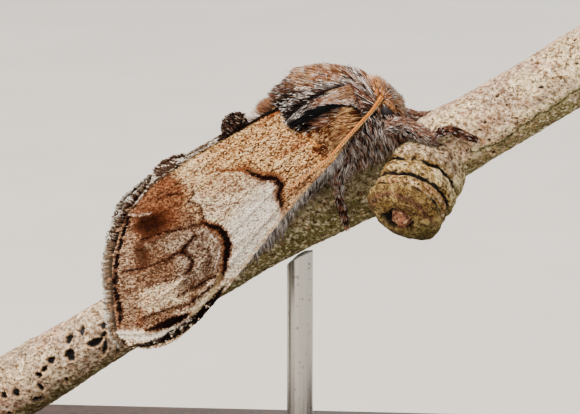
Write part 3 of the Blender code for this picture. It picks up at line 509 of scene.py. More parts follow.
    lay(
        0.95 * strokeMask(sharp, marks["thinRed"], 0.06, 0.05) * ramp(-0.8, -0.1, fine[:, 0]),
        mix(tone["redLine"], tone["umber"], 0.5)
    )
    lay(0.70 * strokeMask(p, marks["bar"], 0.30, 0.18), "rust")
    lay(0.92 * strokeMask(sharp, marks["bar"], (0.04, 0.10, 0.16, 0.16, 0.17, 0.14, 0.05), 0.08), "dark")
    lay(0.65 * strokeMask(sharp, marks["crescentGlow"], 0.07, 0.09) * ramp(-0.5, 0.3, fine[:, 0]), "white")
    lay(0.80 * strokeMask(sharp, marks["crescent"], np.array(marks["crescentHalf"]) + 0.08, 0.10), "rust")
    lay(0.98 * strokeMask(sharp, marks["crescent"], marks["crescentHalf"], 0.05), "dark")
    for path, half, strength in marks["lines"]:
        lay(0.45 * strength * strokeMask(sharp, path, half + 0.10, 0.14), "umber")
        lay(strength * strokeMask(sharp, path, half, 0.045) * ramp(-1.0, -0.2, fine[:, 1]), "dark")
    lay(0.75 * strokeMask(sharp, marks["costaStrip"], 0.26, 0.12), "white")
    lay(0.75 * strokeMask(sharp, marks["oliveLine"], 0.14, 0.10), "olive")
    lay(0.85 * strokeMask(sharp, marks["darkBar"], np.array(marks["darkBarHalf"]) + 0.06, 0.08), "rust")
    lay(0.97 * strokeMask(sharp, marks["darkBar"], marks["darkBarHalf"], 0.05), "dark")
    lay(0.90 * strokeMask(sharp, ((-12.05, 8.9), (-12.0, 9.25)), 0.11, 0.07), "dark")
    costaAway = strokeMask(spots, costaLine[::6], 0.20, 0.06)
    lay(
        0.60 * costaAway * ramp(-0.6, 0.3, fine[:, 0]),
        mix(tone["edge"], tone["sand"], ramp(-0.3, 0.5, fine[:, 1])[:, None])
    )
    lay(strokeMask(sharp, marks["costaDark"], marks["costaDarkHalf"], 0.07) * ramp(-1.0, -0.3, fine[:, 0]), "dark")
    rim = strokeMask(spots, innerLine[::8], 0.16, 0.08)
    lay(0.60 * rim, "edge")
    for path in [np.array(dash) + (0.14, 0) for dash in marks["dashes"]]:
        lay(0.35 * strokeMask(sharp, path, 0.17, 0.06), "umber")
        lay(strokeMask(sharp, path, 0.125, 0.05), "dark")
    lay(0.80 * strokeMask(sharp, np.array(marks["dorsumBlack"]) + (0, 0.22), 0.09, 0.07), "redLine")
    lay(0.95 * strokeMask(sharp, marks["dorsumBlack"], 0.13, 0.06), "black")
    lay(
        0.80 * strokeMask(sharp, marks["dorsumEdge"], 0.20, 0.08),
        mix(tone["smoke"] * 0.8, tone["white"], ramp(0.0, 0.5, fine[:, 1])[:, None])
    )
    lay(
        0.85 * strokeMask(sharp, np.array(marks["dorsumEdge"]) + (0, 0.24), 0.045, 0.05) * ramp(-0.4, 0.2, fine[:, 0]),
        "dark"
    )
    lay(blotMask(p, (-4.35, 0.62), (0.22, 0.14), 0, 0.3), "black")
    return np.maximum(colour * (1.0 + 0.05 * (chance.random(n)[:, None] - 0.5) * 2 * rough), 0.0) ** (1 / 0.45)


print("markings ready")


# Node groups and finishes.
def makeGroup(name, inputs, outputs):
    group = bpy.data.node_groups.new(name, "ShaderNodeTree")
    for label, kind, value in inputs:
        socket = group.interface.new_socket(name=label, in_out="INPUT", socket_type="NodeSocket" + kind)
        if value is not None:
            socket.default_value = value
    for label, kind in outputs:
        group.interface.new_socket(name=label, in_out="OUTPUT", socket_type="NodeSocket" + kind)
    return group, group.nodes.new("NodeGroupInput").outputs, group.nodes.new("NodeGroupOutput").inputs


def addNode(tree, kind, inputs=None, **settings):  # a node with its inputs set, or linked to other nodes' outputs
    node = tree.nodes.new("ShaderNode" + kind)
    for label, value in settings.items():
        setattr(node, label, value)
    for socket, value in (inputs or {}).items():
        if isinstance(value, bpy.types.NodeSocket):
            tree.links.new(value, node.inputs[socket])
        else:
            node.inputs[socket].default_value = value
    return node.outputs


def makeGrainGroup():  # fine mottling: a mask and a height that change over the surface
    inputs = [("Scale", "Float", 4000.0), ("Stretch", "Vector", (1.0, 1.0, 1.0))]
    group, given, result = makeGroup("fineGrain", inputs, [("Mask", "Float"), ("Height", "Float")])
    place = addNode(group, "NewGeometry")["Position"]
    place = addNode(group, "VectorMath", {0: place, 1: given["Stretch"]}, operation="MULTIPLY")[0]
    finer = addNode(group, "Math", {0: given["Scale"], 1: 3.1}, operation="MULTIPLY")[0]
    coarse = addNode(group, "TexNoise", {"Vector": place, "Scale": given["Scale"], "Detail": 3.0})["Fac"]
    fine = addNode(group, "TexNoise", {"Vector": place, "Scale": finer, "Detail": 3.0})["Fac"]
    both = addNode(group, "Math", {0: coarse, 1: fine}, operation="ADD")[0]
    group.links.new(coarse, result["Mask"])
    group.links.new(addNode(group, "Math", {0: both, 1: 0.5}, operation="MULTIPLY")[0], result["Height"])
    return group


def makeTintGroup():  # a painted colour made lighter and darker by a mask
    inputs = [("Colour", "Color", None), ("Mask", "Float", 0.5), ("Dark", "Float", 0.8), ("Light", "Float", 1.2)]
    group, given, result = makeGroup("mottledTint", inputs, [("Colour", "Color")])
    shade = {
        "Value": given["Mask"], "From Min": 0.3, "From Max": 0.7, "To Min": given["Dark"], "To Max": given["Light"]
    }
    shade = addNode(group, "MapRange", shade)[0]
    colour = addNode(group, "VectorMath", {0: given["Colour"], "Scale": shade}, operation="SCALE")[0]
    group.links.new(colour, result["Colour"])
    return group


def makeFleckGroup():  # small scattered specks: 1 inside a speck
    inputs = [("Scale", "Float", 9000.0), ("Share", "Float", 0.4)]
    group, given, result = makeGroup("smallFlecks", inputs, [("Mask", "Float")])
    place = addNode(group, "NewGeometry")["Position"]
    noise = {"Vector": place, "Scale": given["Scale"], "Detail": 2.0, "Roughness": 0.65}
    noise = addNode(group, "TexNoise", noise)["Fac"]
    low = addNode(group, "Math", {0: 0.9, 1: given["Share"]}, operation="SUBTRACT")[0]
    high = addNode(group, "Math", {0: low, 1: 0.06}, operation="ADD")[0]
    group.links.new(addNode(group, "MapRange", {"Value": noise, "From Min": low, "From Max": high})[0], result["Mask"])
    return group


grainGroup, tintGroup, fleckGroup = makeGrainGroup(), makeTintGroup(), makeFleckGroup()


def makeFinish(name, look, paint=None):
    # A painted finish: the piece's own tint, or a plain colour, mottled and bumped by fine grain.
    made = bpy.data.materials.new(name)
    made.use_nodes = True
    tree = made.node_tree
    shader = tree.nodes["Principled BSDF"]
    stretch = look.get("stretch", (1.0, 1.0, 1.0))
    grain = addNode(tree, "Group", {"Scale": look["grain"], "Stretch": stretch}, node_tree=grainGroup)
    source = addNode(tree, "Attribute", attribute_name="tint")["Color"] if paint is None else (*linear(paint), 1.0)
    tint = {"Colour": source, "Mask": grain["Mask"], "Dark": look["spread"][0], "Light": look["spread"][1]}
    colour = addNode(tree, "Group", tint, node_tree=tintGroup)["Colour"]
    for scale, share, ink, strength in look.get("flecks", ()):
        fleck = addNode(tree, "Group", {"Scale": scale, "Share": share}, node_tree=fleckGroup)["Mask"]
        power = addNode(tree, "Math", {0: fleck, 1: strength}, operation="MULTIPLY")[0]
        layers = {0: power, 6: colour, 7: (*linear(ink), 1.0)}
        colour = addNode(tree, "Mix", layers, data_type="RGBA", blend_type="MULTIPLY")[2]
    rough = {"From Min": 0.3, "From Max": 0.7, "To Min": look["rough"][0], "To Max": look["rough"][1]}
    rough = addNode(tree, "MapRange", {"Value": grain["Mask"], **rough})[0]
    bump = {"Height": grain["Height"], "Strength": look["bump"], "Distance": look["depth"]}
    bump = addNode(tree, "Bump", bump)["Normal"]
    for label, output in (("Base Color", colour), ("Roughness", rough), ("Normal", bump)):
        tree.links.new(output, shader.inputs[label])
    for label, value in look.get("set", {}).items():
        shader.inputs[label].default_value = value
    return made


scaleFinish = makeFinish("wingScaleFinish", {
    "grain": 9000.0, "spread": (0.9, 1.1), "rough": (0.6, 0.8), "bump": 0.1, "depth": 0.00001,
    "set": {"Specular IOR Level": 0.02},
})
membraneFinish = makeFinish("wingMembraneFinish", {
    "grain": 7000.0, "spread": (0.8, 1.1), "rough": (0.7, 0.9), "bump": 0.4, "depth": 0.00004,
    "set": {"Specular IOR Level": 0.03},
})
hairFinish = makeFinish("hairFinish", {
    "grain": 6000.0, "spread": (0.86, 1.14), "rough": (0.5, 0.7), "bump": 0.1, "depth": 0.00001,
    "set": {"Specular IOR Level": 0.05},
})
skinFinish = makeFinish("skinFinish", {
    "grain": 5000.0, "spread": (0.75, 1.1), "rough": (0.75, 0.95), "bump": 0.5, "depth": 0.00006,
    "set": {"Specular IOR Level": 0.05},
})
hornFinish = makeFinish("feelerFinish", {
    "grain": 8000.0, "spread": (0.85, 1.15), "rough": (0.3, 0.5), "bump": 0.2, "depth": 0.00001,
})
barkFinish = makeFinish("barkFinish", {
    "grain": 3800.0, "spread": (0.80, 1.22), "rough": (0.75, 0.95), "bump": 0.9, "depth": 0.00007,
    "set": {"Specular IOR Level": 0.1},
    "flecks": ((8200.0, 0.355, "7d6c52", 0.9), (5200.0, 0.30, "4c3d30", 0.9)),  # scale, share, tint, strength
})
eyeFinish = makeFinish("eyeFinish", {
    "grain": 3000.0, "spread": (0.7, 1.4), "rough": (0.45, 0.58), "bump": 0.0, "depth": 0.00001,
    "set": {"Specular IOR Level": 0.14, "Coat Weight": 0.02, "Coat Roughness": 0.2},
}, "2b292c")


def addFacets(made):  # the eye's fine facets take the place of the grain's bump
    tree = made.node_tree
    place = addNode(tree, "NewGeometry")["Position"]
    facets = addNode(tree, "TexVoronoi", {"Vector": place, "Scale": 22000.0})["Distance"]
    bump = addNode(tree, "Bump", {"Height": facets, "Strength": 0.35, "Distance": 0.00001}, invert=True)["Normal"]
    tree.links.new(bump, tree.nodes["Principled BSDF"].inputs["Normal"])


addFacets(eyeFinish)
print("finishes ready")


# Forewings.
def wingUV(spots):
    return pack(0.04 + (spots[..., 0] + 14.0) / 22.0 * 0.92, 0.04 + spots[..., 1] / 12.0 * 0.92)


def wingFold(x, q):  # soft unevenness of the membrane
    return 0.05 * cloud(pack(x * 0.5, q, 0 * x), 2.2, 3, 2)


def wingSurface(s, t, side, out=0.0):
    spots = wingPlace(s, t)
    lift = wing["veinRise"] * veinRelief(s, t) + wingFold(spots[..., 0], spots[..., 1]) - wing["sink"] + out
    return spots, roofPoint(spots[..., 0], spots[..., 1], side, lift)


def makePlate(name, slot, node, side, spots, top, low, colours, under):  # a thin closed sheet between two grids
    rows, columns = spots.shape[:2]
    n = rows * columns
    face = gridFaces(rows, columns, False)
    ends, back = np.arange(1, rows) * columns + columns - 1, np.arange(rows - 2, 0, -1) * columns
    rim = np.concatenate([np.arange(columns), ends, n - 2 - np.arange(columns - 1), back])
    after = np.roll(rim, -1)
    faces = [face, face[:, ::-1] + n, pack(rim, after, after + n, rim + n)[:, ::-1]]
    if side > 0:
        faces = [f[:, ::-1] for f in faces]
    points, uv = np.vstack([top.reshape(-1, 3), low.reshape(-1, 3)]), wingUV(spots.reshape(-1, 2))
    mesh = makeMesh(name, points, faces, np.vstack([colours, under]), np.vstack([uv, uv]))
    addPiece(mesh, membraneFinish, slot, node)


def makeForewing(side, word):
    rows, columns = wing["rows"], wing["columns"]
    s, t = np.meshgrid(np.linspace(0, 1, rows), np.linspace(0, 1, columns), indexing="ij")
    spots, top = wingSurface(s, t, side)
    edge = np.minimum.reduce([t * 8, (1 - t) * 8, (1 - s) * 20, np.ones_like(s)]) ** 0.5
    x, q = spots[..., 0], spots[..., 1]
    low = roofPoint(x, q, side, wingFold(x, q) - wing["sink"] - wing["thick"] * (0.3 + 0.7 * edge))
    flat = spots.reshape(-1, 2)
    colours = wingInk(flat, 4, 0.5) * 0.82
    under = mix(inks["grey"], inks["cream"], 0.3) * (0.8 + 0.1 * cloud(np.c_[flat, flat[:, 0] * 0], 0.6, 2)[:, None])
    node = f"forewing_{word}"
    makePlate(node + "_membrane", "forewing_scales", node, side, spots, top, low, colours, under)


def makeWingScales(side, word, seed, spread):  # "spread" makes the scales wider and fewer
    chance = np.random.default_rng(seed)
    placed = []
    for s in np.arange(0.012, 1.0, wing["scaleStep"] / wing["long"]):
        ends = wingPlace(np.array([s, s]), np.array([0.0, 1.0]))
        count = max(4, int(np.linalg.norm(ends[1] - ends[0]) / (wing["scaleGap"] * spread)))
        t = (np.arange(count) + chance.uniform(-0.4, 0.4, count) + 0.5) / count
        placed.append(pack(s + chance.uniform(-0.5, 0.5, count) * wing["scaleStep"] / wing["long"], t))
    st = np.clip(np.vstack(placed), 0.001, 0.999)
    spots, roots = wingSurface(st[:, 0], st[:, 1], side)
    _, ahead = wingSurface(np.minimum(st[:, 0] + 0.01, 1.0), st[:, 1], side)
    _, behind = wingSurface(np.maximum(st[:, 0] - 0.01, 0.0), st[:, 1], side)
    n = len(roots)
    along = unit(ahead - behind)
    normal = roofNormal(spots[:, 1], side)
    swing = np.radians(chance.normal(0, 11, n))[:, None]
    across = np.cross(normal, along)
    along = unit(along * np.cos(swing) + across * np.sin(swing))
    across = unit(np.cross(normal, along))
    length = wing["scaleLong"] * chance.uniform(0.75, 1.2, n)
    width = wing["scaleWide"] * spread * chance.uniform(0.75, 1.2, n)
    tilt = 0.03 + 0.05 * chance.random(n) ** 2
    ink = wingInk(spots, seed + 50)
    for part, mine in (("inner", st[:, 0] < 0.5), ("outer", st[:, 0] >= 0.5)):
        shape = (v[mine] for v in (roots, along, across, normal, length, width, tilt, ink, wingUV(spots)))
        addPiece(
            growScales(f"forewing_{word}_{part}_scales", *shape), scaleFinish, "forewing_scales", f"forewing_{word}"
        )
    return n


def makeFringe(side, word, seed, count):  # three tiers of long blunt scales round the outer edge
    chance = np.random.default_rng(seed)
    share = np.sort(chance.random(count)) ** 0.96
    root, end = readPath(innerLine, share), readPath(outerLine, share)
    arc = pack(share * 15.0, 0 * share, 0 * share)
    lobe = np.abs(np.sin(arc[:, 0] * math.pi / 0.82 + 0.9 * cloud(arc, 0.5, seed, 2)))
    tuft = cloud(arc, 0.16, seed + 3, 2)
    tier = chance.integers(0, 3, count)
    reach = np.choose(tier, (0.42, 0.72, 0.96)) * (
        1 + 0.10 * lobe + mix(0.16, 0.34, ramp(0.5, 0.65, share)) * tuft
    ) * chance.uniform(0.88, 1.08, count)
    tip = mix(root, end, reach[:, None]) + 0.03 * chance.normal(size=(count, 2))
    tip = tip + 0.10 * tuft[:, None] * np.array([[0.3, 1.0]])
    level = np.choose(tier, (0.04, -0.03, -0.10)) + 0.02 * chance.normal(size=count)
    flat = root - 0.10 * unit(end - root)
    roots = roofPoint(flat[:, 0], flat[:, 1], side, level)
    tips = roofPoint(tip[:, 0], tip[:, 1], side, level - 0.03 * lobe + 0.06 * tuft)
    length = np.linalg.norm(tips - roots, axis=1)
    along = (tips - roots) / length[:, None]
    normal = roofNormal(flat[:, 1], side)
    across = unit(np.cross(normal, along))
    base = mix(mix(inks["mid"], inks["edge"], 0.4), inks["smoke"], chance.random(count)[:, None])
    pale = mix(
        mix(inks["mid"], inks["grey"], 0.5 * tier[:, None]), inks["white"],
        np.clip(0.40 * tier - 0.22 + 0.6 * tuft, 0, 1)[:, None]
    )
    brown = chance.random(count) < mix(
        0.18, 0.85, ramp(0.50, 0.64, share)
    ) * mix(1.0, 0.7, ramp(0.2, 0.7, lobe)) * np.choose(tier, (1.0, 0.9, 0.65))
    pale = pick(brown, mix(inks["umber"], inks["smoke"], 0.4) * 0.6, pale)
    base = pick(brown & (share > 0.55), inks["dark"] * 2.5, base)
    mesh = growScales(
        f"forewing_{word}_fringe", roots, along, across, normal, length, chance.uniform(0.045, 0.075, count), 0.015,
        base, wingUV(flat), pale
    )
    addPiece(mesh, scaleFinish, "forewing_scales", f"forewing_{word}")


margin = {  # tufts of scales on the hind edge; "stack" is how far up a tuft its scales are rooted
    "tooth": {"from": 0.50, "to": -1.20, "count": 1300, "rise": 0.98, "stack": 0.74, "sweep": -0.28},
    "tornal": {"from": -4.0, "to": -6.30, "count": 1700, "rise": 0.56, "stack": 0.55, "sweep": -0.42},
    "ridge": {"from": 3.2, "to": -6.9, "count": 1300, "rise": 0.15, "stack": 0.10, "sweep": -0.40},
}


def makeMarginTufts(side, word, seed):
    chance = np.random.default_rng(seed)
    held = []
    for kind, size in margin.items():
        n = size["count"]
        share = chance.random(n)
        x = mix(size["from"], size["to"], share)
        q = np.interp(-x, [-3.4, -1.8, 3.0, 6.6], [0.5, 0.2, 0.2, 0.45]) + 0.34 * chance.random(n)
        hump = np.sin(np.pi * np.clip(share * 0.94 + 0.08, 0, 1)) ** 0.55
        ragged = 1 + 0.16 * cloud(pack(x, q, 0 * x), 0.17, 31, 2)
        tier = chance.random(n) * size["stack"]
        top = size["rise"] * hump * ragged * np.minimum(tier + chance.uniform(0.22, 0.36, n), 1.0)
        bottom = size["rise"] * hump * np.clip(tier - 0.12, 0, 1)
        base = roofPoint(x, q, side, -0.08)
        lean = size["sweep"] * (0.35 + 0.9 * share) * hump
        thin = 1 - 0.5 * top / size["rise"]
        y = side * (0.14 + 0.16 * chance.random(n)) * thin
        roots = base + pack(lean * bottom / size["rise"], y * 0.5 - 0.3 * side * (q - 0.3), bottom)
        tips = base + pack(
            lean * top / size["rise"] - 0.05 + 0.05 * chance.normal(size=n), y - 0.3 * side * (q - 0.3), top + 0.02
        )
        bends = mix(roots, tips, 0.6) + pack(0.02 + 0 * x, side * 0.07 + 0 * x, 0.02 + 0 * x)
        dice = chance.random(n)[:, None]
        if kind == "tooth":
            root = np.where(dice < 0.3, inks["umber"] * 0.8, inks["black"])
            end = np.where(
                dice > 0.93, inks["grey"],
                np.where(dice > 0.70, mix(inks["umber"], inks["smoke"], 0.5), inks["black"] * 0.8)
            )
        elif kind == "tornal":
            root = mix(inks["umber"], inks["smoke"], chance.random(n)[:, None])
            # pale hair before and behind the brown
            front = ramp(-4.6, -4.0, x)[:, None] + ramp(5.75, 6.05, -x)[:, None]
            end = np.where(
                dice < 0.08 + 0.6 * front, inks["white"],
                mix(inks["umber"] * 0.5, inks["smoke"], chance.random(n)[:, None])
            )
        else:
            root = pick(x > -1.6, inks["black"], inks["smoke"])
            end = np.where(
                (x > -1.6)[:, None] & (dice < 0.85), inks["black"],
                np.where(dice > 0.55, inks["smoke"] * 0.5, mix(inks["grey"], inks["white"], dice * 1.8))
            )
        held.append((roots, bends, tips, root, end, wingUV(pack(x, q))))
    roots, bends, tips, base, end, uv = (np.vstack(rows) for rows in zip(*held))
    across = np.tile(np.array([[0.9, 0.3 * side, 0.0]]), (len(roots), 1)) + 0.3 * chance.normal(size=(len(roots), 3))
    mesh = growTufts(f"forewing_{word}_margin", roots, bends, tips, across, 0.085, 0.025, base, end, uv)
    addPiece(mesh, hairFinish, "forewing_scales", f"forewing_{word}")


# Hindwings, mostly hidden under the forewings.
hind = {
    "inset": 0.85,
    "costa": ((3.0, 5.2), (1.5, 5.8), (-1.3, 6.9), (-4.6, 8.2), (-7.2, 8.5)),
    "dorsum": ((3.0, 4.4), (1.0, 4.6), (-4.0, 4.8), (-8.6, 5.0)),
    "termen": ((-7.2, 8.5), (-9.1, 7.7), (-9.5, 6.4), (-8.6, 5.0)),
    "rows": 74,
    "columns": 30,
    "fringe": 1000,
}


def makeHindwing(side, word, seed):
    rows, columns = hind["rows"], hind["columns"]
    edges = [smoothPath(hind[k], 80) for k in ("costa", "dorsum", "termen")]
    s, t = np.meshgrid(np.linspace(0, 1, rows), np.linspace(0, 1, columns), indexing="ij")
    spots = patchPoint(s, t, *edges)
    veins = sum(np.exp(-(((t - at) / 0.03) ** 2)) for at in (0.3, 0.62, 0.85))
    ripple = 0.04 * cloud(pack(spots[..., 0] * 0.5, spots[..., 1], 0 * s), 1.5, 8, 2)
    top = roofPoint(spots[..., 0], spots[..., 1], side, -hind["inset"] + 0.06 * veins + ripple)
    low = roofPoint(spots[..., 0], spots[..., 1], side, -hind["inset"] - 0.14 + ripple)
    flat = spots.reshape(-1, 2)
    mottle = cloud(np.c_[flat, flat[:, 0] * 0], 0.35, 6)[:, None]
    colour = mix(inks["grey"], inks["cream"], 0.55 + 0.25 * mottle)
    colour = mix(colour, inks["mid"], 0.5 * strokeMask(flat, edges[2][::4], 0.35, 0.2)[:, None])
    node = f"hindwing_{word}"
    makePlate(node + "_membrane", "hindwing_scales", node, side, spots, top, low, colour, colour * 0.9)
    chance = np.random.default_rng(seed)
    count = hind["fringe"]
    share = chance.random(count)
    root = readPath(edges[2], share)
    way = unit(root - np.array([-5.5, 6.6]))
    tip = root + way * chance.uniform(0.3, 0.5, count)[:, None]
    root = root - way * 0.35
    roots = roofPoint(root[:, 0], root[:, 1], side, -hind["inset"] - 0.05)
    tips = roofPoint(tip[:, 0], tip[:, 1], side, -hind["inset"] - 0.08)
    sideways = np.cross(roofNormal(root[:, 1], side), unit(tips - roots))
    base = mix(inks["grey"], inks["cream"], chance.random(count)[:, None])
    end = mix(base, inks["white"], 0.6)
    mesh = growTufts(
        node + "_fringe", roots, mix(roots, tips, 0.5), tips, sideways, 0.11, 0.02, base, end, wingUV(root)
    )
    addPiece(mesh, scaleFinish, "hindwing_scales", node)


for word, side in (("right", -1), ("left", 1)):
    makeForewing(side, word)
    grown = makeWingScales(side, word, 31 + side, 1.0 if side < 0 else 1.25)
    makeFringe(side, word, 61 + side, 8800 if side < 0 else 7200)
    makeMarginTufts(side, word, 71 + side)
    makeHindwing(side, word, 81 + side)
    print("forewing", word, "with", grown, "scales")


# The body under its coat: one loft from the head's tip to the abdomen's, and six legs, fused into one skin.
# Each ring is (x, half width, low, high). A turn is an angle round the body from the top towards the right side.
body = {
    "rings": (
        (8.80, 0.10, 3.55, 3.85), (8.7, 0.55, 3.2, 4.2), (8.5, 0.95, 2.85, 4.6), (8.25, 1.12, 2.7, 4.85),
        (7.9, 1.2, 2.7, 5.1),
        (7.6, 1.35, 2.7, 5.5), (7.2, 1.75, 2.5, 6.1), (6.6, 2.1, 2.3, 6.7), (5.9, 2.35, 2.2, 7.2),
        (5.1, 2.45, 2.15, 7.5),
        (4.3, 2.35, 2.15, 7.55), (3.7, 1.95, 2.3, 7.3), (3.2, 1.45, 2.5, 6.7), (2.8, 1.2, 2.4, 6.0),
        (2.4, 1.3, 2.4, 5.5),
        (1.0, 1.62, 2.2, 5.5), (-1.0, 1.65, 2.15, 5.4), (-3.0, 1.58, 2.15, 5.25), (-5.0, 1.4, 2.2, 4.95),
        (-6.8, 1.1, 2.3, 4.55),
        (-8.2, 0.65, 2.55, 4.0), (-8.8, 0.12, 2.95, 3.55),
    ),
    "coat": (
        (8.05, 1.30, 3.20, 6.30), (7.60, 1.75, 2.80, 6.80), (7.00, 2.25, 2.40, 7.30), (6.00, 2.65, 2.00, 7.95),
        (5.10, 2.80, 2.00, 8.30),
        (4.30, 2.80, 2.00, 8.50), (3.60, 2.60, 2.20, 8.25), (2.60, 2.30, 2.60, 7.80),
    ),
    "voxel": 0.098,
    "degreeWide": 0.045,  # millimetres to a degree of turn, for drawing the markings
}
legs = {
    "foreleg_right": (
        (6.9, -1, 3, .36), (7.5, -1.5, 2.85, .36), (8.1, -1.85, 2.85, .36), (8.6, -1.9, 2.65, .36),
        (9.2, -2.1, 1.98, .34), (9.8, -2.4, 1.2, .26), (10.2, -2.33, 1.2, .19), (10.8, -2.35, 1.1, .18),
        (11.2, -2.46, .88, .18), (11.7, -2.63, .3, .17), (12.4, -2.57, -.56, .12)
    ),
    "foreleg_left": (
        (6.9, 1, 3, .36), (7.5, 1.45, 2.85, .36), (8.3, 1.9, 2.35, .34), (9, 2.2, 1.65, .3), (9.7, 2.4, 1.22, .24),
        (10.3, 2.45, .98, .19), (11, 2.55, .6, .18), (11.7, 2.62, .15, .17), (12.1, 2.58, -.3, .12)
    ),
    "midleg_right": (
        (5.4, -1.5, 2.75, .34), (4.9, -2.25, 2.55, .33), (4.2, -2.45, 2.2, .25), (3.8, -2.48, 1.7, .19),
        (3.2, -2.52, .65, .18), (3.1, -2.48, .2, .17), (2.9, -2.4, -.37, .17), (2.6, -2.05, -1.3, .12)
    ),
    "hindleg_right": (
        (3.5, -1.3, 2.6, .32), (2.3, -1.7, 2.05, .28), (1, -2.05, 1.7, .25), (-1, -2.25, 1.4, .19),
        (-2.4, -2.35, .92, .17), (-3.6, -2.35, .45, .13)
    ),
}
for word in ("midleg", "hindleg"):
    legs[word + "_left"] = tuple((x, -y, z, r) for x, y, z, r in legs[word + "_right"])
skinRows = smoothPath(body["rings"], 220)[::-1]
coatRows = smoothPath(body["coat"], 80)[::-1]
legPaths = {name: smoothPath(path, 90) for name, path in legs.items()}


def loftPoint(rows, x, turn, out=0.0):
    wide, low, high = (np.interp(x, rows[:, 0], rows[:, k]) for k in (1, 2, 3))
    middle, half = (low + high) / 2, (high - low) / 2
    side, top = np.sin(turn), np.cos(turn)
    return pack(x + 0 * side * wide, -(wide + out) * side, middle + (half + out) * top)


def loftNormal(rows, x, turn):
    step = 0.03
    around = loftPoint(rows, x, turn + step) - loftPoint(rows, x, turn - step)
    ahead = loftPoint(rows, x + step, turn) - loftPoint(rows, x - step, turn)
    return unit(np.cross(around, ahead))


def tubeShape(path, sides=14):
    spine, radii = path[:, :3], path[:, 3]
    along = unit(np.gradient(spine, axis=0))
    first = unit(np.cross(along, np.array([0.31, 0.2, 0.93])))
    second = np.cross(along, first)
    angle = np.arange(sides) / sides * math.tau
    ring = first[:, None] * np.cos(angle)[None, :, None] + second[:, None] * np.sin(angle)[None, :, None]
    points = (spine[:, None] + ring * radii[:, None, None]).reshape(-1, 3)
    points = np.vstack([points, spine[:1] - along[:1] * radii[0] * 0.6, spine[-1:] + along[-1:] * radii[-1] * 0.6])
    return points, tubeFaces(len(spine), sides)


def bodyShape():
    rows, sides = 200, 48
    x = mix(body["rings"][-1][0], body["rings"][0][0], np.linspace(0, 1, rows))
    grid = np.meshgrid(x, np.arange(sides) / sides * math.tau, indexing="ij")
    points = loftPoint(skinRows, *grid).reshape(-1, 3)
    return np.vstack([points, [[x[0] - 0.03, 0, 3.25], [x[-1] + 0.03, 0, 3.7]]]), tubeFaces(rows, sides)


def fuseShapes(name, shapes, voxel):  # one closed mesh round all the given ones
    verts, polys, start = [], [], 0
    for points, faceSets in shapes:
        verts.append(points)
        polys += [tuple(int(v) + start for v in face) for faces in faceSets for face in faces]
        start += len(points)
    mesh = bpy.data.meshes.new(name)
    mesh.from_pydata(np.vstack(verts).tolist(), [], polys)
    holder = bpy.data.objects.new(name, mesh)
    bpy.context.scene.collection.objects.link(holder)
    change = holder.modifiers.new("fuse", "REMESH")
    change.mode, change.voxel_size = "VOXEL", voxel
    change.use_smooth_shade = True
    soften = holder.modifiers.new("soften", "SMOOTH")
    soften.factor, soften.iterations = 0.5, 3
    fused = bpy.data.meshes.new_from_object(holder.evaluated_get(bpy.context.evaluated_depsgraph_get()))
    bpy.data.objects.remove(holder)
    points = np.empty(len(fused.vertices) * 3, np.float32)
    fused.vertices.foreach_get("co", points)
    faces = np.empty(len(fused.loops), np.int32)
    fused.loops.foreach_get("vertex_index", faces)
    return points.reshape(-1, 3).astype(float), faces.reshape(-1, 4)


# Colours of skin and coat, drawn over (x, turn).
furInks = {name: linear(code) for name, code in {
    "pink": "a07662", "tan": "c09472", "light": "e2bd98", "rufous": "a87048", "rust": "7c3f22", "brown": "4c2c20",
    "dark": "1e100c", "black": "0b0b0e", "slate": "34353b", "white": "efe9e4", "silver": "bdb4ae", "grey": "8a8280",
    "blue": "777a84", "ochre": "c09058", "ash": "ac9c92", "fawn": "cba07c",
}.items()}
thoraxMarks = {
    "streak": ((7.15, 38), (6.25, 43), (5.35, 45), (4.45, 46), (3.65, 47), (3.1, 48)),
    "streakHalf": (0.28, 0.20, 0.22, 0.22, 0.22, 0.24),
    "under": ((6.9, 45), (6.2, 50), (5.5, 55), (4.75, 58), (4.0, 61), (3.4, 64)),
    "underHalf": (0.10, 0.22, 0.24, 0.28, 0.32, 0.32),
    "collarBand": ((7.45, -30), (7.5, 0), (7.6, 24), (7.8, 44), (7.95, 66)),
    "darkCollar": ((7.05, 20), (7.25, 45), (7.35, 70), (7.4, 95)),
    "rustLine": ((7.0, 12), (6.4, 22), (5.9, 26), (5.2, 30)),
}


def blend(base, ink, mask):  # a layer of a fur colour over others
    return mixInk(base, furInks[ink], mask)


def turnSpots(x, turn):  # the left side carries the right side's markings
    return pack(x, np.abs(np.degrees(turn)) * body["degreeWide"])


def markPath(name):
    return np.array([(x, turn * body["degreeWide"]) for x, turn in thoraxMarks[name]])


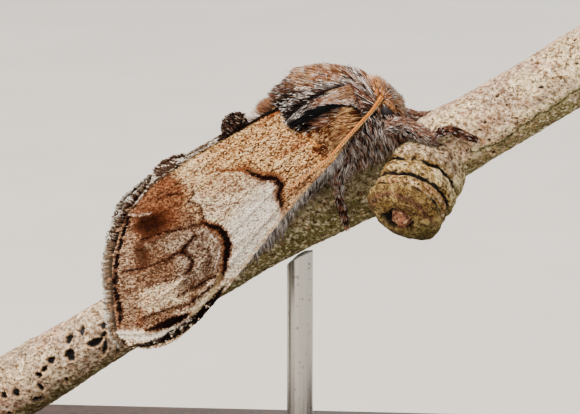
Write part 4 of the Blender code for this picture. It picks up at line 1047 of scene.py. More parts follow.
def bodyInk(x, turn, seed):  # the colour near the root and the colour at the tip of each hair
    chance = np.random.default_rng(seed)
    n = len(x)
    p = turnSpots(x, turn)
    flat = np.c_[p, np.sign(turn)]
    p = p + 0.10 * pack(cloud(flat, 0.5, 3), cloud(flat, 0.5, 7))
    degrees = p[:, 1] / body["degreeWide"]
    patch = cloud(flat, 0.9, 11)
    lock = cloud(flat * np.array([0.4, 1.0, 1.0]), 0.12, 15, 1)

    tip = np.tile(furInks["pink"], (n, 1))
    tip = blend(tip, "tan", 0.8 * (1 - ramp(38, 52, degrees)))
    tip = blend(tip, "light", 0.8 * blotMask(p, (4.9, 22 * body["degreeWide"]), (0.9, 0.55), 0, 0.5))
    tip = blend(tip, "rust", 0.75 * strokeMask(p, markPath("rustLine"), 0.16, 0.14))
    tip = blend(tip, "rust", 0.4 * ramp(0.1, 0.8, patch))
    tip = blend(tip, "fawn", 0.35 * ramp(0.1, 0.8, -patch))
    tip = blend(tip, "brown", 0.6 * strokeMask(p, markPath("darkCollar"), 0.20, 0.2))
    root = blend(tip * 0.55, "dark", np.full(n, 0.35))
    low = ramp(88, 104, degrees)  # the flanks
    flank = mix(furInks["pink"], furInks["grey"], ramp(-0.6, 0.6, patch)[:, None])
    tip, root = mix(tip, flank, low[:, None]), mix(root, flank * 0.5, low[:, None])
    rear = 1 - ramp(3.4, 4.3, x + 0.25 * lock)
    peak = rear * (1 - ramp(14, 34, degrees + 8 * patch))  # the crest's brown rear corner
    rear = rear - peak
    root, tip = blend(root, "dark", 0.9 * peak), blend(tip, "brown", 0.85 * peak)
    root, tip = blend(root, "black", 0.95 * rear), blend(tip, "black", rear)
    under = strokeMask(p, markPath("under"), thoraxMarks["underHalf"], 0.08)
    root, tip = blend(root, "black", under), blend(tip, "black", 0.95 * under)
    streak = strokeMask(p, markPath("streak"), thoraxMarks["streakHalf"], 0.12)
    root, tip = blend(root, "black", 0.7 * streak), blend(tip, "grey", 0.7 * streak)
    band = strokeMask(p, markPath("collarBand"), 0.22, 0.2)
    root, tip = blend(root, "dark", 0.8 * band), blend(tip, "ash", 0.35 * band)
    tip = pick(chance.random(n) < 0.62 * band, furInks["dark"] * 0.7, tip * (1 - 0.35 * band[:, None]))
    dice = chance.random(n)
    pale = dice < 0.12 + 0.28 * streak - 0.04 * rear + 0.12 * low + 0.16 * band - 0.3 * under + 0.06 * ramp(6.4, 7.2, x)
    tip = pick(pale, mix(tip, furInks["white"], 0.75), tip)
    tip = pick(dice > 0.66 - 0.14 * (lock > 0.2), mixInk(tip * 0.3, furInks["brown"], 0.4), tip)
    root = mix(root, furInks["dark"], 0.45)
    return root, tip * (0.50 + 0.75 * ramp(-0.45, 0.35, lock))[:, None]


def abdomenInk(x, turn, seed):
    chance = np.random.default_rng(seed)
    n = len(x)
    down = ramp(60, 120, np.abs(np.degrees(turn)))
    base = mix(furInks["fawn"], furInks["silver"], down[:, None])
    bands = 0.5 + 0.5 * np.sin(x * 4.2)
    base = base * (0.75 + 0.3 * bands[:, None])
    tip = pick(chance.random(n) < 0.3, mix(base, furInks["white"], 0.6), base)
    return base * 0.55, tip


def bodyUV(x, turn):  # the body's own unwrap: along it and round it
    x, turn = np.broadcast_arrays(x, turn)
    return pack(0.02 + (x + 9.2) / 18.4 * 0.96, 0.02 + (turn / math.tau % 1.0) * 0.66)


def legUV(share, angle, number):
    return pack(0.02 + share * 0.96, 0.71 + 0.046 * number + 0.040 * (angle / math.tau % 1.0))


def legInk(share, seed, left, facing=None):
    chance = np.random.default_rng(seed)
    n = len(share)
    upper = 1 - ramp(0.50, 0.60, share)[:, None]
    bands = 0.7 * ramp(-0.25, 0.25, np.sin((share - 0.5) * math.tau * 7.0))[:, None]
    thigh = mix(furInks["pink"], furInks["grey"], chance.random(n)[:, None])
    thigh = pick(chance.random(n) < 0.50, furInks["black"], thigh)
    tarsus = mix(furInks["brown"], furInks["pink"] * 1.1, bands)
    tarsus = pick(chance.random(n) < 0.40, furInks["dark"], tarsus)
    tarsus = mix(tarsus, furInks["fawn"], 0.85 * ramp(0.93, 0.97, share)[:, None])
    facing = np.zeros(n) if facing is None else facing  # 1 on the upper side
    thigh = mix(thigh, furInks["pink"] * 1.15, (0.7 if left else 0.6 * ramp(0.0, 0.6, facing)[:, None]))
    tip = mix(tarsus, thigh, upper)
    root = tip * 0.35
    pale = (chance.random(n) < mix(0.14, 0.34, upper[:, 0]) * (1 - 0.5 * ramp(0.0, 0.6, facing)))[:, None]
    return root, np.where(pale, mix(tip, furInks["white"], 0.85), tip)


def makeSkin():
    points, faces = fuseShapes(
        "bodySkin", [bodyShape()] + [tubeShape(path) for path in legPaths.values()], body["voxel"]
    )
    x, y, z = points.T
    low, high = (np.interp(x, skinRows[:, 0], skinRows[:, k]) for k in (2, 3))
    wide = np.interp(x, skinRows[:, 0], skinRows[:, 1])
    turn = np.arctan2(-y / wide, (z - (low + high) / 2) / ((high - low) / 2))
    beyond = (np.hypot(-y / wide, (z - (low + high) / 2) / ((high - low) / 2)) - 1) * wide
    uv, nearest = bodyUV(x, turn), np.maximum(beyond, 0.02)
    root, _ = bodyInk(x, turn, 5)
    back, _ = abdomenInk(x, turn, 6)
    colour = pick(x < 2.8, back, root)
    for number, (name, path) in enumerate(legPaths.items()):
        gap = np.full(len(points), 99.0)
        share = np.zeros(len(points))
        for k in range(len(path) - 1):
            s, away = toSegment(points, path[k, :3], path[k + 1, :3])
            away = away - path[k, 3]
            closer = away < gap
            gap, share = np.where(closer, away, gap), np.where(closer, (k + s) / (len(path) - 1), share)
        mine = gap < nearest - 0.02
        ink, _ = legInk(share, 40 + number, "left" in name)
        colour = pick(mine, ink, colour)
        uv = pick(mine, legUV(share, np.arctan2(y, z - 1.0), number), uv)
        nearest = np.where(mine, gap, nearest)
    mesh = makeMesh("body_skin", points, [faces], colour, uv)
    addPiece(mesh, skinFinish, "thorax_fur", "thorax", "head", "abdomen", *legPaths)
    print("skin of", len(faces), "faces")


makeSkin()


# Coats. Hairs gather in clumps: each leans towards the tip of the nearest of a few leading hairs.
def clump(roots, tips, every, pull, seed):
    chance = np.random.default_rng(seed)
    lead = chance.choice(len(roots), max(2, len(roots) // every), replace=False)
    nearest = np.empty(len(roots), int)
    for start in range(0, len(roots), 2000):
        part = roots[start : start + 2000]
        nearest[start : start + 2000] = np.argmin(((part[:, None] - roots[lead][None]) ** 2).sum(-1), axis=1)
    leader = lead[nearest]
    goal = tips[leader] + 0.30 * (roots - roots[leader])
    return mix(tips, goal, pull)


def keepOff(points, centre, radius):
    away = points - centre
    far = np.linalg.norm(away, axis=1, keepdims=True)
    return np.where(far < radius, centre + away / far * radius, points)


eye = {"x": 8.17, "y": 1.02, "z": 3.66, "radius": 0.55}


def makeCoat(name, slot, nodes, roots, bends, tips, ink, uv, width=0.06, thick=0.022, flat=None, seed=1):
    chance = np.random.default_rng(seed)
    for side in (-1, 1):
        centre = np.array([eye["x"], side * eye["y"], eye["z"]])
        bends, tips = keepOff(bends, centre, eye["radius"] + 0.04), keepOff(tips, centre, eye["radius"] + 0.03)
    across = np.cross(tips - roots, chance.normal(size=roots.shape) + (0 if flat is None else flat))
    size = chance.uniform(0.7, 1.2, len(roots))
    mesh = growTufts(name, roots, bends, tips, across, width * size, thick * size, ink[0], ink[1], uv)
    addPiece(mesh, hairFinish, slot, *nodes)


def makeThoraxCoat(count, seed):  # hair from the skin back and out to the coat's surface
    chance = np.random.default_rng(seed)
    x = chance.uniform(2.55, 8.05, count)
    turn = chance.uniform(-1.75, 1.75, count)
    reach = mix(0.75, 0.12, ramp(6.9, 7.9, x)) * chance.uniform(0.7, 1.3, count)
    side = np.where(turn < 0, -1.0, 1.0)
    fan = ramp(6.1, 7.1, x)  # near the head the hair spreads from the feeler's socket
    toHub = unit(pack(8.45 - x, 3.4 - np.abs(turn) * 2.3))
    rootX = np.clip(x + reach * mix(1.0, 0.9 * toHub[:, 0], fan), 2.9, 8.0)
    rootTurn = turn + side * fan * toHub[:, 1] * 0.75 / 2.3
    roots = loftPoint(skinRows, rootX, rootTurn, -0.05)
    wave = 0.10 * cloud(pack(x, turn * 2.6, 0 * x), 0.6, 23, 2)
    depth = chance.uniform(-0.28, 0.02, count) + wave
    tips = loftPoint(coatRows, x, turn + chance.normal(0, 0.03, count), depth)
    corner = ((1 - ramp(2.7, 3.5, x)) * (1 - ramp(0.25, 0.75, np.abs(turn))))[:, None]
    tips = clump(roots, tips + corner * np.array([-0.34, 0, 0.14]), 14, 0.55, seed + 1)
    normal = loftNormal(skinRows, rootX, rootTurn)
    bends = mix(roots, tips, 0.5) + normal * 0.12 * np.linalg.norm(tips - roots, axis=1)[:, None]
    shade = chance.choice([0.35, 0.78, 1.0, 1.12, 1.45], count)[:, None]  # dark and pale hairs side by side
    angle = np.arctan2(np.abs(turn) * 2.3 - 3.4, 8.9 - x)  # round the feeler's socket
    streak = cloud(pack(angle * 2.2, 3.0 * side, 0.10 * x), 0.11, 29, 1)
    shade = shade * mix(1.0, mix(0.34, 1.22, ramp(-0.30, 0.25, streak)), 0.9 * fan)[:, None]
    ink = [np.minimum(colour * shade, 0.9) for colour in bodyInk(x, turn, seed + 2)]
    makeCoat(
        "thorax_coat", "thorax_fur", ("thorax",), roots, bends, tips, ink, bodyUV(rootX, rootTurn), 0.06, 0.02, normal,
        seed
    )


def makeTipScales(name, roots, tips, outward, share, size, seed):  # pale blade-shaped scales at the ends of the hairs
    chance = np.random.default_rng(seed)
    along = unit(tips - roots)
    n = len(tips)
    normal = unit(outward - along * np.sum(outward * along, -1, keepdims=True))
    ink = mix(furInks["white"], furInks["silver"], 0.6 * share[:, None])
    long, wide = size * chance.uniform(0.7, 1.2, n), 0.17 * size * chance.uniform(0.8, 1.3, n)
    start = tips - along * (long * 0.7)[:, None] + normal * 0.02
    uv = bodyUV(start[:, 0], np.arctan2(-start[:, 1], start[:, 2] - 5.0))
    mesh = growScales(name, start, along, np.cross(normal, along), normal, long, wide, 0.02, ink, uv)
    addPiece(mesh, hairFinish, "thorax_fur", "thorax")


def makeThoraxTips(count, seed):  # the white-tipped scales of the rear edge, the streak and the collar band
    chance = np.random.default_rng(seed)
    x, turn = chance.uniform(2.6, 8.0, count), chance.uniform(-1.7, 1.7, count)
    p = turnSpots(x, turn)
    rear = 1 - ramp(3.2, 4.0, x)
    streak = strokeMask(p, markPath("streak"), np.array(thoraxMarks["streakHalf"]) + 0.05, 0.2)
    under = strokeMask(p, markPath("under"), 0.12, 0.2)
    band = strokeMask(p, markPath("collarBand"), 0.20, 0.22)
    keep = chance.random(count) < 0.008 + 0.035 * rear * ramp(
        16, 30, np.abs(np.degrees(turn))
    ) + 0.09 * streak + 0.01 * under + 0.06 * band
    x, turn = x[keep], turn[keep]
    n = len(x)
    tips = loftPoint(coatRows, x, turn, 0.03 * chance.normal(size=n) + 0.02)
    roots = loftPoint(coatRows, x + 0.3, turn + 0.05 * chance.normal(size=n), -0.22)
    makeTipScales("thorax_tips", roots, tips, loftNormal(coatRows, x, turn), chance.random(n), 0.26, seed + 1)


tegula = {
    "top": ((7.25, 52), (6.25, 56), (5.25, 59), (4.15, 63), (3.35, 64), (2.95, 66)),
    "low": ((7.05, 98), (6.9, 86), (6.35, 77), (5.4, 75), (4.6, 79), (3.7, 80), (3.15, 78)),
    "raise": 0.26,
    "reach": 0.20,
}


def tegulaPoint(s, t, side, out):
    place = mix(*(readPath(smoothPath(tegula[edge], 60), s) for edge in ("top", "low")), t[:, None])
    rise = tegula["raise"] * (0.45 + 0.55 * np.sin(np.pi * np.clip(0.15 + 0.8 * t, 0, 1))) * ramp(-0.1, 0.25, s)
    turn = np.radians(-side * place[:, 1])
    return loftPoint(coatRows, place[:, 0], turn, rise + out), place


def makeTegula(side, word, count, seed):
    chance = np.random.default_rng(seed)
    s, t = chance.uniform(0.02, 1.03, count), np.clip(chance.uniform(-0.04, 1.04, count), 0, 1)
    spread = 0.06 * chance.normal(size=count)
    rootS = s - tegula["reach"] * chance.uniform(0.8, 1.2, count)
    roots, _ = tegulaPoint(np.clip(rootS, 0, 1), t, side, -0.30 + 0 * s)
    tips, place = tegulaPoint(np.clip(s, 0, 1), np.clip(t + spread, 0, 1), side, chance.uniform(-0.10, 0.05, count))
    tips[:, 0] -= np.clip(s - 0.93, 0, 1) * 3.0
    tips = clump(roots, tips, 12, 0.5, seed + 1)
    outward = unit(pack(0 * s, tips[:, 1], tips[:, 2] - 5.0))
    bends = mix(roots, tips, 0.5) + outward * 0.10
    p = pack(place[:, 0], t)
    patch = cloud(np.c_[p * (1, 2), 0 * s], 0.5, 5)
    edge = ramp(-0.06, 0.06, t + 0.06 * patch - mix(0.78, 0.42, ramp(0.45, 0.95, s))) * ramp(0.10, 0.28, s)
    edge = np.maximum(edge, 0.9 * (1 - ramp(0.04, 0.14, t + 0.05 * patch)) * ramp(0.3, 0.5, s))
    rear = ramp(0.70, 0.88, s + 0.08 * patch)
    tip = mix(furInks["pink"], furInks["fawn"], ramp(-0.5, 0.6, patch)[:, None])
    tip = blend(tip, "light", 0.6 * blotMask(p, (6.0, 0.2), (0.8, 0.3), 0, 0.5))
    root = mix(tip, furInks["brown"], 0.75) * 0.7
    lock = cloud(np.c_[p * (0.35, 4.0), 0 * s], 0.16, 17, 1)[:, None]
    tip = blend(tip, "brown", 0.6 * ramp(0.15, 0.5, lock)) * (0.6 + 0.7 * ramp(-0.45, 0.35, lock))
    dark = np.maximum(edge, 0.85 * rear)[:, None]
    soot = mix(furInks["black"], furInks["slate"], 0.55 * chance.random(count)[:, None])
    root, tip = blend(root, "black", dark), mixInk(tip, soot, dark)
    often = 0.26 * (1 - edge) * ramp(0.1, 0.4, s) + 0.05 * rear * (1 - edge) + 0.22 * ramp(0.45, 0.58, t) * (1 - edge)
    pale = chance.random(count) < often
    tip = pick(pale, mix(tip, furInks["white"], 0.85), tip)
    tip = pick((chance.random(count) < 0.34) & ~pale, tip * 0.25, tip)
    turn = np.radians(-side * place[:, 1])
    makeCoat(
        f"tegula_{word}_coat", "thorax_fur", ("thorax",), roots, bends, tips, (root, tip), bodyUV(place[:, 0], turn),
        0.06, 0.02, outward, seed
    )
    ends = np.flatnonzero(chance.random(count) < (0.004 + 0.05 * rear) * (1 - edge))
    makeTipScales(
        f"tegula_{word}_tips", roots[ends], tips[ends], outward[ends], chance.random(len(ends)), 0.24, seed + 5
    )


def makeFlankCoat(count, seed):  # layers of soft hair that hang over the leg roots and the chest
    chance = np.random.default_rng(seed)
    x = chance.uniform(3.4, 8.45, count)
    side = chance.choice([-1, 1], count)
    degrees = chance.uniform(88, 158, count)
    turn = np.radians(-side * degrees)
    origin = loftPoint(skinRows, x, turn, -0.05)
    share = (degrees - 88) / 70
    front = ramp(7.2, 8.4, x)
    low = mix(2.9, 1.35, np.clip(share * 2.2, 0, 1)) + 0.25 * chance.normal(size=count)
    low = np.maximum(low, 1.25 + 0.1 * front)
    width = mix(2.75, 1.2, share) * mix(1.0, 0.72, front) + 0.12 * chance.normal(size=count)
    end = pack(x - 0.35 + 0.35 * front + 0.15 * chance.normal(size=count), side * width, low)
    normal = loftNormal(skinRows, x, turn)
    first = chance.uniform(0.0, 0.72, count)[:, None]
    last = np.minimum(first + chance.uniform(0.26, 0.42, count)[:, None], 1.0)
    bulge = normal * 0.30
    roots = mix(origin, end, first) + bulge * first * (1 - first) * 2 - normal * 0.08
    tips = mix(origin, end, last) + bulge * last * (1 - last) * 2 + normal * 0.10 * (1 - last)
    tips = clump(roots, tips, 9, 0.5, seed + 1)
    curl = np.stack([cloud(roots, 0.35, k, 2) for k in (3, 7, 11)], -1)
    tips = tips + 0.26 * curl + 0.05 * chance.normal(size=(count, 3))
    bends = mix(roots, tips, 0.5) + normal * 0.06 - 0.08 * curl
    patch = cloud(np.c_[x, degrees * body["degreeWide"], side], 0.7, 31)
    tip = mix(furInks["pink"], furInks["ash"], (0.8 * ramp(-0.3, 0.7, patch))[:, None])
    dice = chance.random(count) + 0.25 * cloud(roots, 0.25, 15, 1)
    tip = blend(tip, "brown", 0.15 * ramp(-0.3, 0.6, patch)) * 1.15
    tip = pick(dice < 0.28, mix(tip, furInks["white"], 0.85), tip)
    tip = pick(dice > 0.62, mix(furInks["dark"], furInks["slate"], 0.3), tip)
    root = mix(tip * 0.5, furInks["dark"], 0.3)
    makeCoat(
        "flank_coat", "thorax_fur", ("thorax",), roots, bends, tips, (root, tip), bodyUV(x, turn), 0.055, 0.02, None,
        seed
    )


def makeHeadCoat(count, seed):  # hair that spreads from the feelers' sockets
    chance = np.random.default_rng(seed)
    x = 8.80 - 0.98 * chance.random(count) ** 0.9
    turn = chance.uniform(-math.pi, math.pi, count)
    roots = loftPoint(skinRows, x, turn, -0.04)
    normal = loftNormal(skinRows, x, turn)
    side = np.where(roots[:, 1] < 0, -1.0, 1.0)
    hub = pack(np.full(count, 8.32), side * 1.12, np.full(count, 4.52))
    way = roots - hub
    tangent = unit(way - normal * np.sum(way * normal, -1, keepdims=True))
    back = np.array([-1.0, 0, 0.35])
    top = ramp(0.35, 0.9, normal[:, 2])
    tangent = unit(mix(tangent, back, (0.35 * top)[:, None]))
    front = ramp(8.2, 8.6, x)
    length = mix(mix(0.50, 0.74, front), 1.02, top) * mix(
        1.0, 0.7, ramp(0.3, 0.9, -normal[:, 2])
    ) * chance.uniform(0.8, 1.12, count)
    length = length * mix(0.55, 1.0, ramp(0.15, 0.7, np.linalg.norm(way, axis=1)))
    raised = mix(mix(0.45, 0.30, front), 0.80, top)[:, None] * normal
    tips = roots + length[:, None] * unit(0.55 * tangent + raised)
    tips = clump(roots, tips, 10, 0.35, seed + 1)
    bends = mix(roots, tips, 0.5) + normal * 0.05
    keep = np.ones(count, bool)
    for hand in (-1, 1):
        keep &= np.linalg.norm(roots - np.array([eye["x"], hand * eye["y"], eye["z"]]), axis=1) > eye["radius"] - 0.12
    patch = cloud(roots, 0.5, 41)
    near = 1 - ramp(0.2, 0.9, np.linalg.norm(way, axis=1))
    tip = mix(furInks["rufous"], furInks["fawn"], ramp(-0.5, 0.6, patch)[:, None])
    tip = blend(tip, "rufous", 0.7 * near)
    tip = blend(tip, "light", 0.7 * ramp(8.35, 8.7, x))
    tip = blend(tip, "pink", 0.7 * ramp(0.3, 0.8, -normal[:, 2]))
    pale = chance.random(count) < 0.16 + 0.26 * ramp(8.3, 8.6, x) + 0.2 * (1 - ramp(7.85, 8.1, x))
    tip = pick(pale, mix(tip, furInks["white"], 0.8), tip)
    tip = pick((chance.random(count) < 0.32) & ~pale, furInks["rust"] * 0.5, tip)
    tip = tip * (0.60 + 0.70 * ramp(-0.45, 0.35, cloud(roots, 0.11, 45, 1)))[:, None]
    root = mix(tip, furInks["rust"], 0.6) * 0.55
    ink = (root[keep], tip[keep])
    makeCoat(
        "head_coat", "thorax_fur", ("head",), roots[keep], bends[keep], tips[keep], ink, bodyUV(x, turn)[keep], 0.05,
        0.018, None, seed
    )


def makeBrows(count, seed):  # short hair that hangs over the upper, front and lower rim of each eye
    chance = np.random.default_rng(seed)
    side = chance.choice([-1.0, 1.0], count)
    around = chance.uniform(-1.9, 1.75, count)  # 0 at the front, 90 degrees at the top
    ring = pack(np.cos(around), 0 * around, np.sin(around))
    outward = pack(0 * side, side, 0 * side)
    centre = pack(np.full(count, eye["x"]), side * eye["y"], np.full(count, eye["z"]))
    roots = centre + ring * 0.60 - outward * chance.uniform(0.0, 0.22, count)[:, None]
    cover = mix(0.20, 0.05, ramp(0.2, 1.0, np.abs(around - 0.3))) * chance.uniform(0.6, 1.25, count)
    tips = centre + ring * (0.60 - cover)[:, None] + outward * np.sqrt(
        np.maximum(0.64**2 - (0.60 - cover) ** 2, 0.01)
    )[:, None]
    tips = tips + np.array([-0.10, 0, -0.02]) + 0.03 * chance.normal(size=(count, 3))
    tips = clump(roots, tips, 9, 0.4, seed + 1)
    bends = mix(roots, tips, 0.5) + outward * 0.16 + ring * 0.06
    tip = mix(furInks["rufous"], furInks["fawn"], chance.random(count)[:, None])
    tip = blend(tip, "ash", 0.8 * ramp(0.2, 1.0, -around))
    tip = pick(chance.random(count) < 0.2, furInks["dark"], tip)
    uv = bodyUV(roots[:, 0], -side * (1.7 - around * 0.5))
    makeCoat(
        "brow_coat", "thorax_fur", ("head",), roots, bends, tips, (tip * 0.4, tip), uv, 0.045, 0.016, outward, seed
    )


def makeRearFluff(count, seed):  # brown fluff behind the thorax, between the wings
    chance = np.random.default_rng(seed)
    x = chance.uniform(0.1, 3.3, count)
    side = chance.choice([-1, 1], count)
    roots = pack(x + 0.5, side * chance.uniform(0.0, 0.28, count), 6.35 + 0.0 * x)
    high = np.interp(
        x, [0.1, 0.7, 1.2, 1.8, 2.3, 3.0], [7.30, 7.50, 7.55, 7.82, 7.72, 7.2]
    ) - 0.34 * chance.random(count) ** 1.5
    tips = pack(x - 0.25 * chance.random(count), side * chance.uniform(0.0, 0.50, count), high)
    tips = clump(roots, tips, 12, 0.4, seed + 1)
    bends = mix(roots, tips, 0.55) + np.array([0.1, 0, 0.05])
    tip = pick(
        chance.random(count) < 0.10, furInks["ash"],
        mix(furInks["brown"], furInks["tan"], 0.45 * chance.random(count)[:, None])
    )
    tip = pick(chance.random(count) < 0.75 * (1 - ramp(0.9, 1.4, x)), furInks["white"], tip)
    tip = blend(tip, "dark", 0.6 * ramp(2.2, 2.9, x))
    turn = np.radians(10.0 * side)
    makeCoat(
        "rear_fluff", "thorax_fur", ("thorax",), roots, bends, tips, (tip * 0.4, tip), bodyUV(x, turn), 0.05, 0.02,
        None, seed
    )


def makeWingBase(side, word, count, seed):  # ochre fluff over the forewing's root, with two dark spots
    chance = np.random.default_rng(seed)
    x = chance.uniform(3.7, 6.6, count)
    q = mix(1.9, 5.4, chance.random(count)) + 0.12 * (5.2 - x)
    keep = (
        q < np.interp(x, [3.7, 5.0, 6.0, 6.7], [5.3, 5.1, 4.75, 4.4])
    ) & (q > np.interp(x, [3.7, 5.0, 6.6], [1.9, 2.2, 3.0]))
    x, q = x[keep], q[keep]
    n = len(x)
    lift = 0.02 + 0.30 * ramp(4.2, 5.6, x) + 0.10 * cloud(pack(x, q, 0 * x), 0.5, 3, 2)
    roots = roofPoint(x + 0.35, q - 0.05, side, -0.35 * ramp(5.2, 5.8, x) - 0.05)
    way = np.radians(190 + 22 * cloud(pack(x, q, 0 * x), 0.8, 5, 2) + 8 * chance.normal(size=n))
    reach = mix(0.28, 0.55, ramp(4.0, 5.4, x)) * chance.uniform(0.8, 1.2, n)
    tips = roofPoint(x + 0.35 + reach * np.cos(way), q - 0.05 - reach * np.sin(way), side, lift)
    tips = clump(roots, tips, 10, 0.5, seed + 1)
    bends = mix(roots, tips, 0.5) + roofNormal(q, side) * 0.06
    p = pack(x, q)
    tip = mix(inks["tan"], inks["sand"], (0.7 * ramp(-0.3, 0.8, cloud(np.c_[p, 0 * x], 0.5, 7)))[:, None])
    tip = mixInk(tip, inks["rust"], 0.85 * ramp(-0.3, 0.4, cloud(np.c_[p, 0 * x], 0.6, 9)))
    tip = mixInk(tip, inks["umber"], 0.8 * ramp(0.1, 0.5, cloud(np.c_[p * (1, 1.6), 0 * x], 0.34, 19, 2)))
    for centre in marks["baseTufts"]:
        tip = mixInk(tip, inks["umber"] * 0.6, 0.95 * blotMask(p, centre, (0.34, 0.26), 20, 0.4))
    dice = chance.random(n)
    tip = pick(dice < 0.10, inks["sand"], pick(dice > 0.68, mix(inks["umber"], inks["rust"], 0.4), tip))
    makeCoat(
        f"wing_base_{word}", "forewing_scales", (f"forewing_{word}",), roots, bends, tips, (tip * 0.4, tip), wingUV(p),
        0.055, 0.02, roofNormal(q, side), seed
    )


def makeLooseHairs(count, seed):  # a few long pale hairs that stand clear of the crest
    chance = np.random.default_rng(seed)
    x, turn = chance.uniform(3.0, 7.9, count), chance.normal(0, 0.5, count)
    roots = loftPoint(coatRows, x, turn, -0.3)
    normal = loftNormal(coatRows, x, turn)
    lean = np.array([-0.5, 0, 0.2]) + 0.45 * chance.normal(size=(count, 3))
    length = chance.uniform(0.5, 0.85, count)[:, None]
    tips = roots + length * unit(normal + lean)
    bends = mix(roots, tips, 0.55) + normal * 0.12
    pale = np.tile(furInks["white"], (count, 1))
    makeCoat(
        "loose_hairs", "thorax_fur", ("thorax",), roots, bends, tips, (pale * 0.7, pale), bodyUV(x, turn), 0.028, 0.012,
        None, seed
    )


def makeAbdomenCoat(count, seed):
    chance = np.random.default_rng(seed)
    x = -8.75 + 11.6 * chance.random(count) ** 0.9
    turn = chance.uniform(-math.pi, math.pi, count)
    roots = loftPoint(skinRows, x, turn, -0.04)
    normal = loftNormal(skinRows, x, turn)
    length = mix(0.75, 0.55, ramp(-8.8, -5, x)) * chance.uniform(0.8, 1.2, count)
    tips = roots + length[:, None] * unit(np.array([-1.0, 0, 0]) + 0.22 * normal)
    tips = clump(roots, tips, 8, 0.3, seed + 1)
    bends = mix(roots, tips, 0.5) + normal * 0.05
    makeCoat(
        "abdomen_coat", "abdomen_fur", ("abdomen",), roots, bends, tips, abdomenInk(x, turn, seed), bodyUV(x, turn),
        0.10, 0.03, normal, seed
    )


bellyHair = {
    "tips": ((2.4, 1.75), (1, 1.2), (0, .5), (-1, .05), (-2.2, -.3), (-3.6, -.45), (-5, -.75), (-6.5, -0.9)),
    "spread": 2.65
}


def makeBellyHair(side, word, count, seed):  # long pale hair from under the forewing's front edge down to the twig
    chance = np.random.default_rng(seed)
    x = 4.4 - 10.6 * chance.random(count) ** 1.15
    heights = np.array(bellyHair["tips"])[::-1]
    costaQ = np.interp(x, costaLine[::-1, 0], costaLine[::-1, 1])
    roots = roofPoint(x + 0.5, costaQ - 0.55 - 0.5 * chance.random(count), side, -0.45)
    low = np.interp(x, heights[:, 0], heights[:, 1]) + 0.22 * chance.normal(size=count)
    wide = bellyHair["spread"] - 0.7 * chance.random(count) ** 0.7
    tips = pack(x - 0.35 + 0.25 * chance.normal(size=count), side * wide, low)
    short = chance.uniform(0.55, 1.0, count)[:, None]
    tips = mix(roots, tips, short)
    tips = clump(roots, tips, 16, 0.6, seed + 1)
    bends = mix(roots, tips, 0.5) + np.array([0.1, side * 0.18, 0.0])
    patch = cloud(np.c_[x * 2, chance.random(count), 0 * x], 0.6, 51)
    tip = mix(furInks["grey"], furInks["silver"], ramp(-0.5, 0.5, patch)[:, None])
    tip = blend(tip, "blue", 0.5 * ramp(0, 0.6, -patch))
    tip = pick(chance.random(count) < 0.35, furInks["white"], tip)
    tip = pick(chance.random(count) < 0.12, furInks["slate"], tip)
    uv = bodyUV(x, math.radians(-side * 95.0))
    makeCoat(
        f"belly_hair_{word}", "abdomen_fur", ("abdomen",), roots, bends, tips, (mix(tip, furInks["slate"], 0.6), tip),
        uv, 0.05, 0.02, None, seed
    )


def makeLegCoat(name, path, number, count, seed):
    chance = np.random.default_rng(seed)
    weight = path[:, 3]
    share = np.interp(
        chance.random(count), np.r_[0, np.cumsum(weight)] / weight.sum(), np.linspace(0, 1, len(path) + 1)
    )
    spine, along = readPath(path, share), readPath(unit(np.gradient(path[:, :3], axis=0)), share)
    angle = chance.uniform(0, math.tau, count)
    first = unit(np.cross(along, np.array([0.31, 0.2, 0.93])))
    second = np.cross(along, first)
    out = first * np.cos(angle)[:, None] + second * np.sin(angle)[:, None]
    roots = spine[:, :3] + out * (spine[:, 3:] - 0.03)
    thigh = 1 - ramp(0.42, 0.58, share)
    shin = 1 - ramp(0.80, 0.95, share)
    length = mix(mix(0.20, 0.36, shin), 0.48, thigh) * chance.uniform(0.7, 1.2, count)
    hang = np.array([0, 0, -0.25]) * thigh[:, None]
    tips = roots + length[:, None] * unit(along + out * mix(mix(0.20, 0.45, shin), 0.38, thigh)[:, None] + hang)
    tips = clump(roots, tips, 7, 0.25, seed + 1) + 0.05 * chance.normal(size=(count, 3)) * thigh[:, None]
    bends = mix(roots, tips, 0.5) + out * 0.05
    ink = legInk(share, seed + 3, "left" in name, out[:, 2])
    makeCoat(
        name + "_coat", "leg_fur", (name,), roots, bends, tips, ink, legUV(share, angle, number),
        mix(0.045, 0.055, thigh), 0.02, out, seed
    )


tuftCounts = {
    "thorax": 16000, "tegula": 5000, "bellyHair": 4200, "wingBase": 3600, "thoraxTips": 9000, "flanks": 12400,
    "head": 10500,
    "brows": 1300, "rearFluff": 2600, "abdomen": 5000, "foreleg": 4600, "midleg": 2200, "hindleg": 1500,
    "leftShare": 0.75,  # the far side has fewer
}
makeThoraxCoat(tuftCounts["thorax"], 101)
for word, side, many in (("right", -1, 1.0), ("left", 1, tuftCounts["leftShare"])):
    makeTegula(side, word, int(tuftCounts["tegula"] * many), 111 + side)
    makeBellyHair(side, word, int(tuftCounts["bellyHair"] * many), 121 + side)
    makeWingBase(side, word, int(tuftCounts["wingBase"] * many), 126 + side)
makeThoraxTips(tuftCounts["thoraxTips"], 105)
makeLooseHairs(46, 108)
makeFlankCoat(tuftCounts["flanks"], 131)
makeHeadCoat(tuftCounts["head"], 141)
makeBrows(tuftCounts["brows"], 146)
makeRearFluff(tuftCounts["rearFluff"], 151)
makeAbdomenCoat(tuftCounts["abdomen"], 161)
for number, (name, path) in enumerate(legPaths.items()):
    makeLegCoat(name, path, number, tuftCounts[name.split("_")[0]], 171 + number)


tibiaSpurs = {  # joint, then how far its two spurs reach
    "midleg": ((3.2, 2.52, 0.65), ((-0.56, 0.15, 0.12), (0.36, 0.16, -0.20))),
    "hindleg": ((-1.0, 2.25, 1.4), ((-0.60, 0.14, -0.02), (-0.52, 0.20, -0.26))),
}


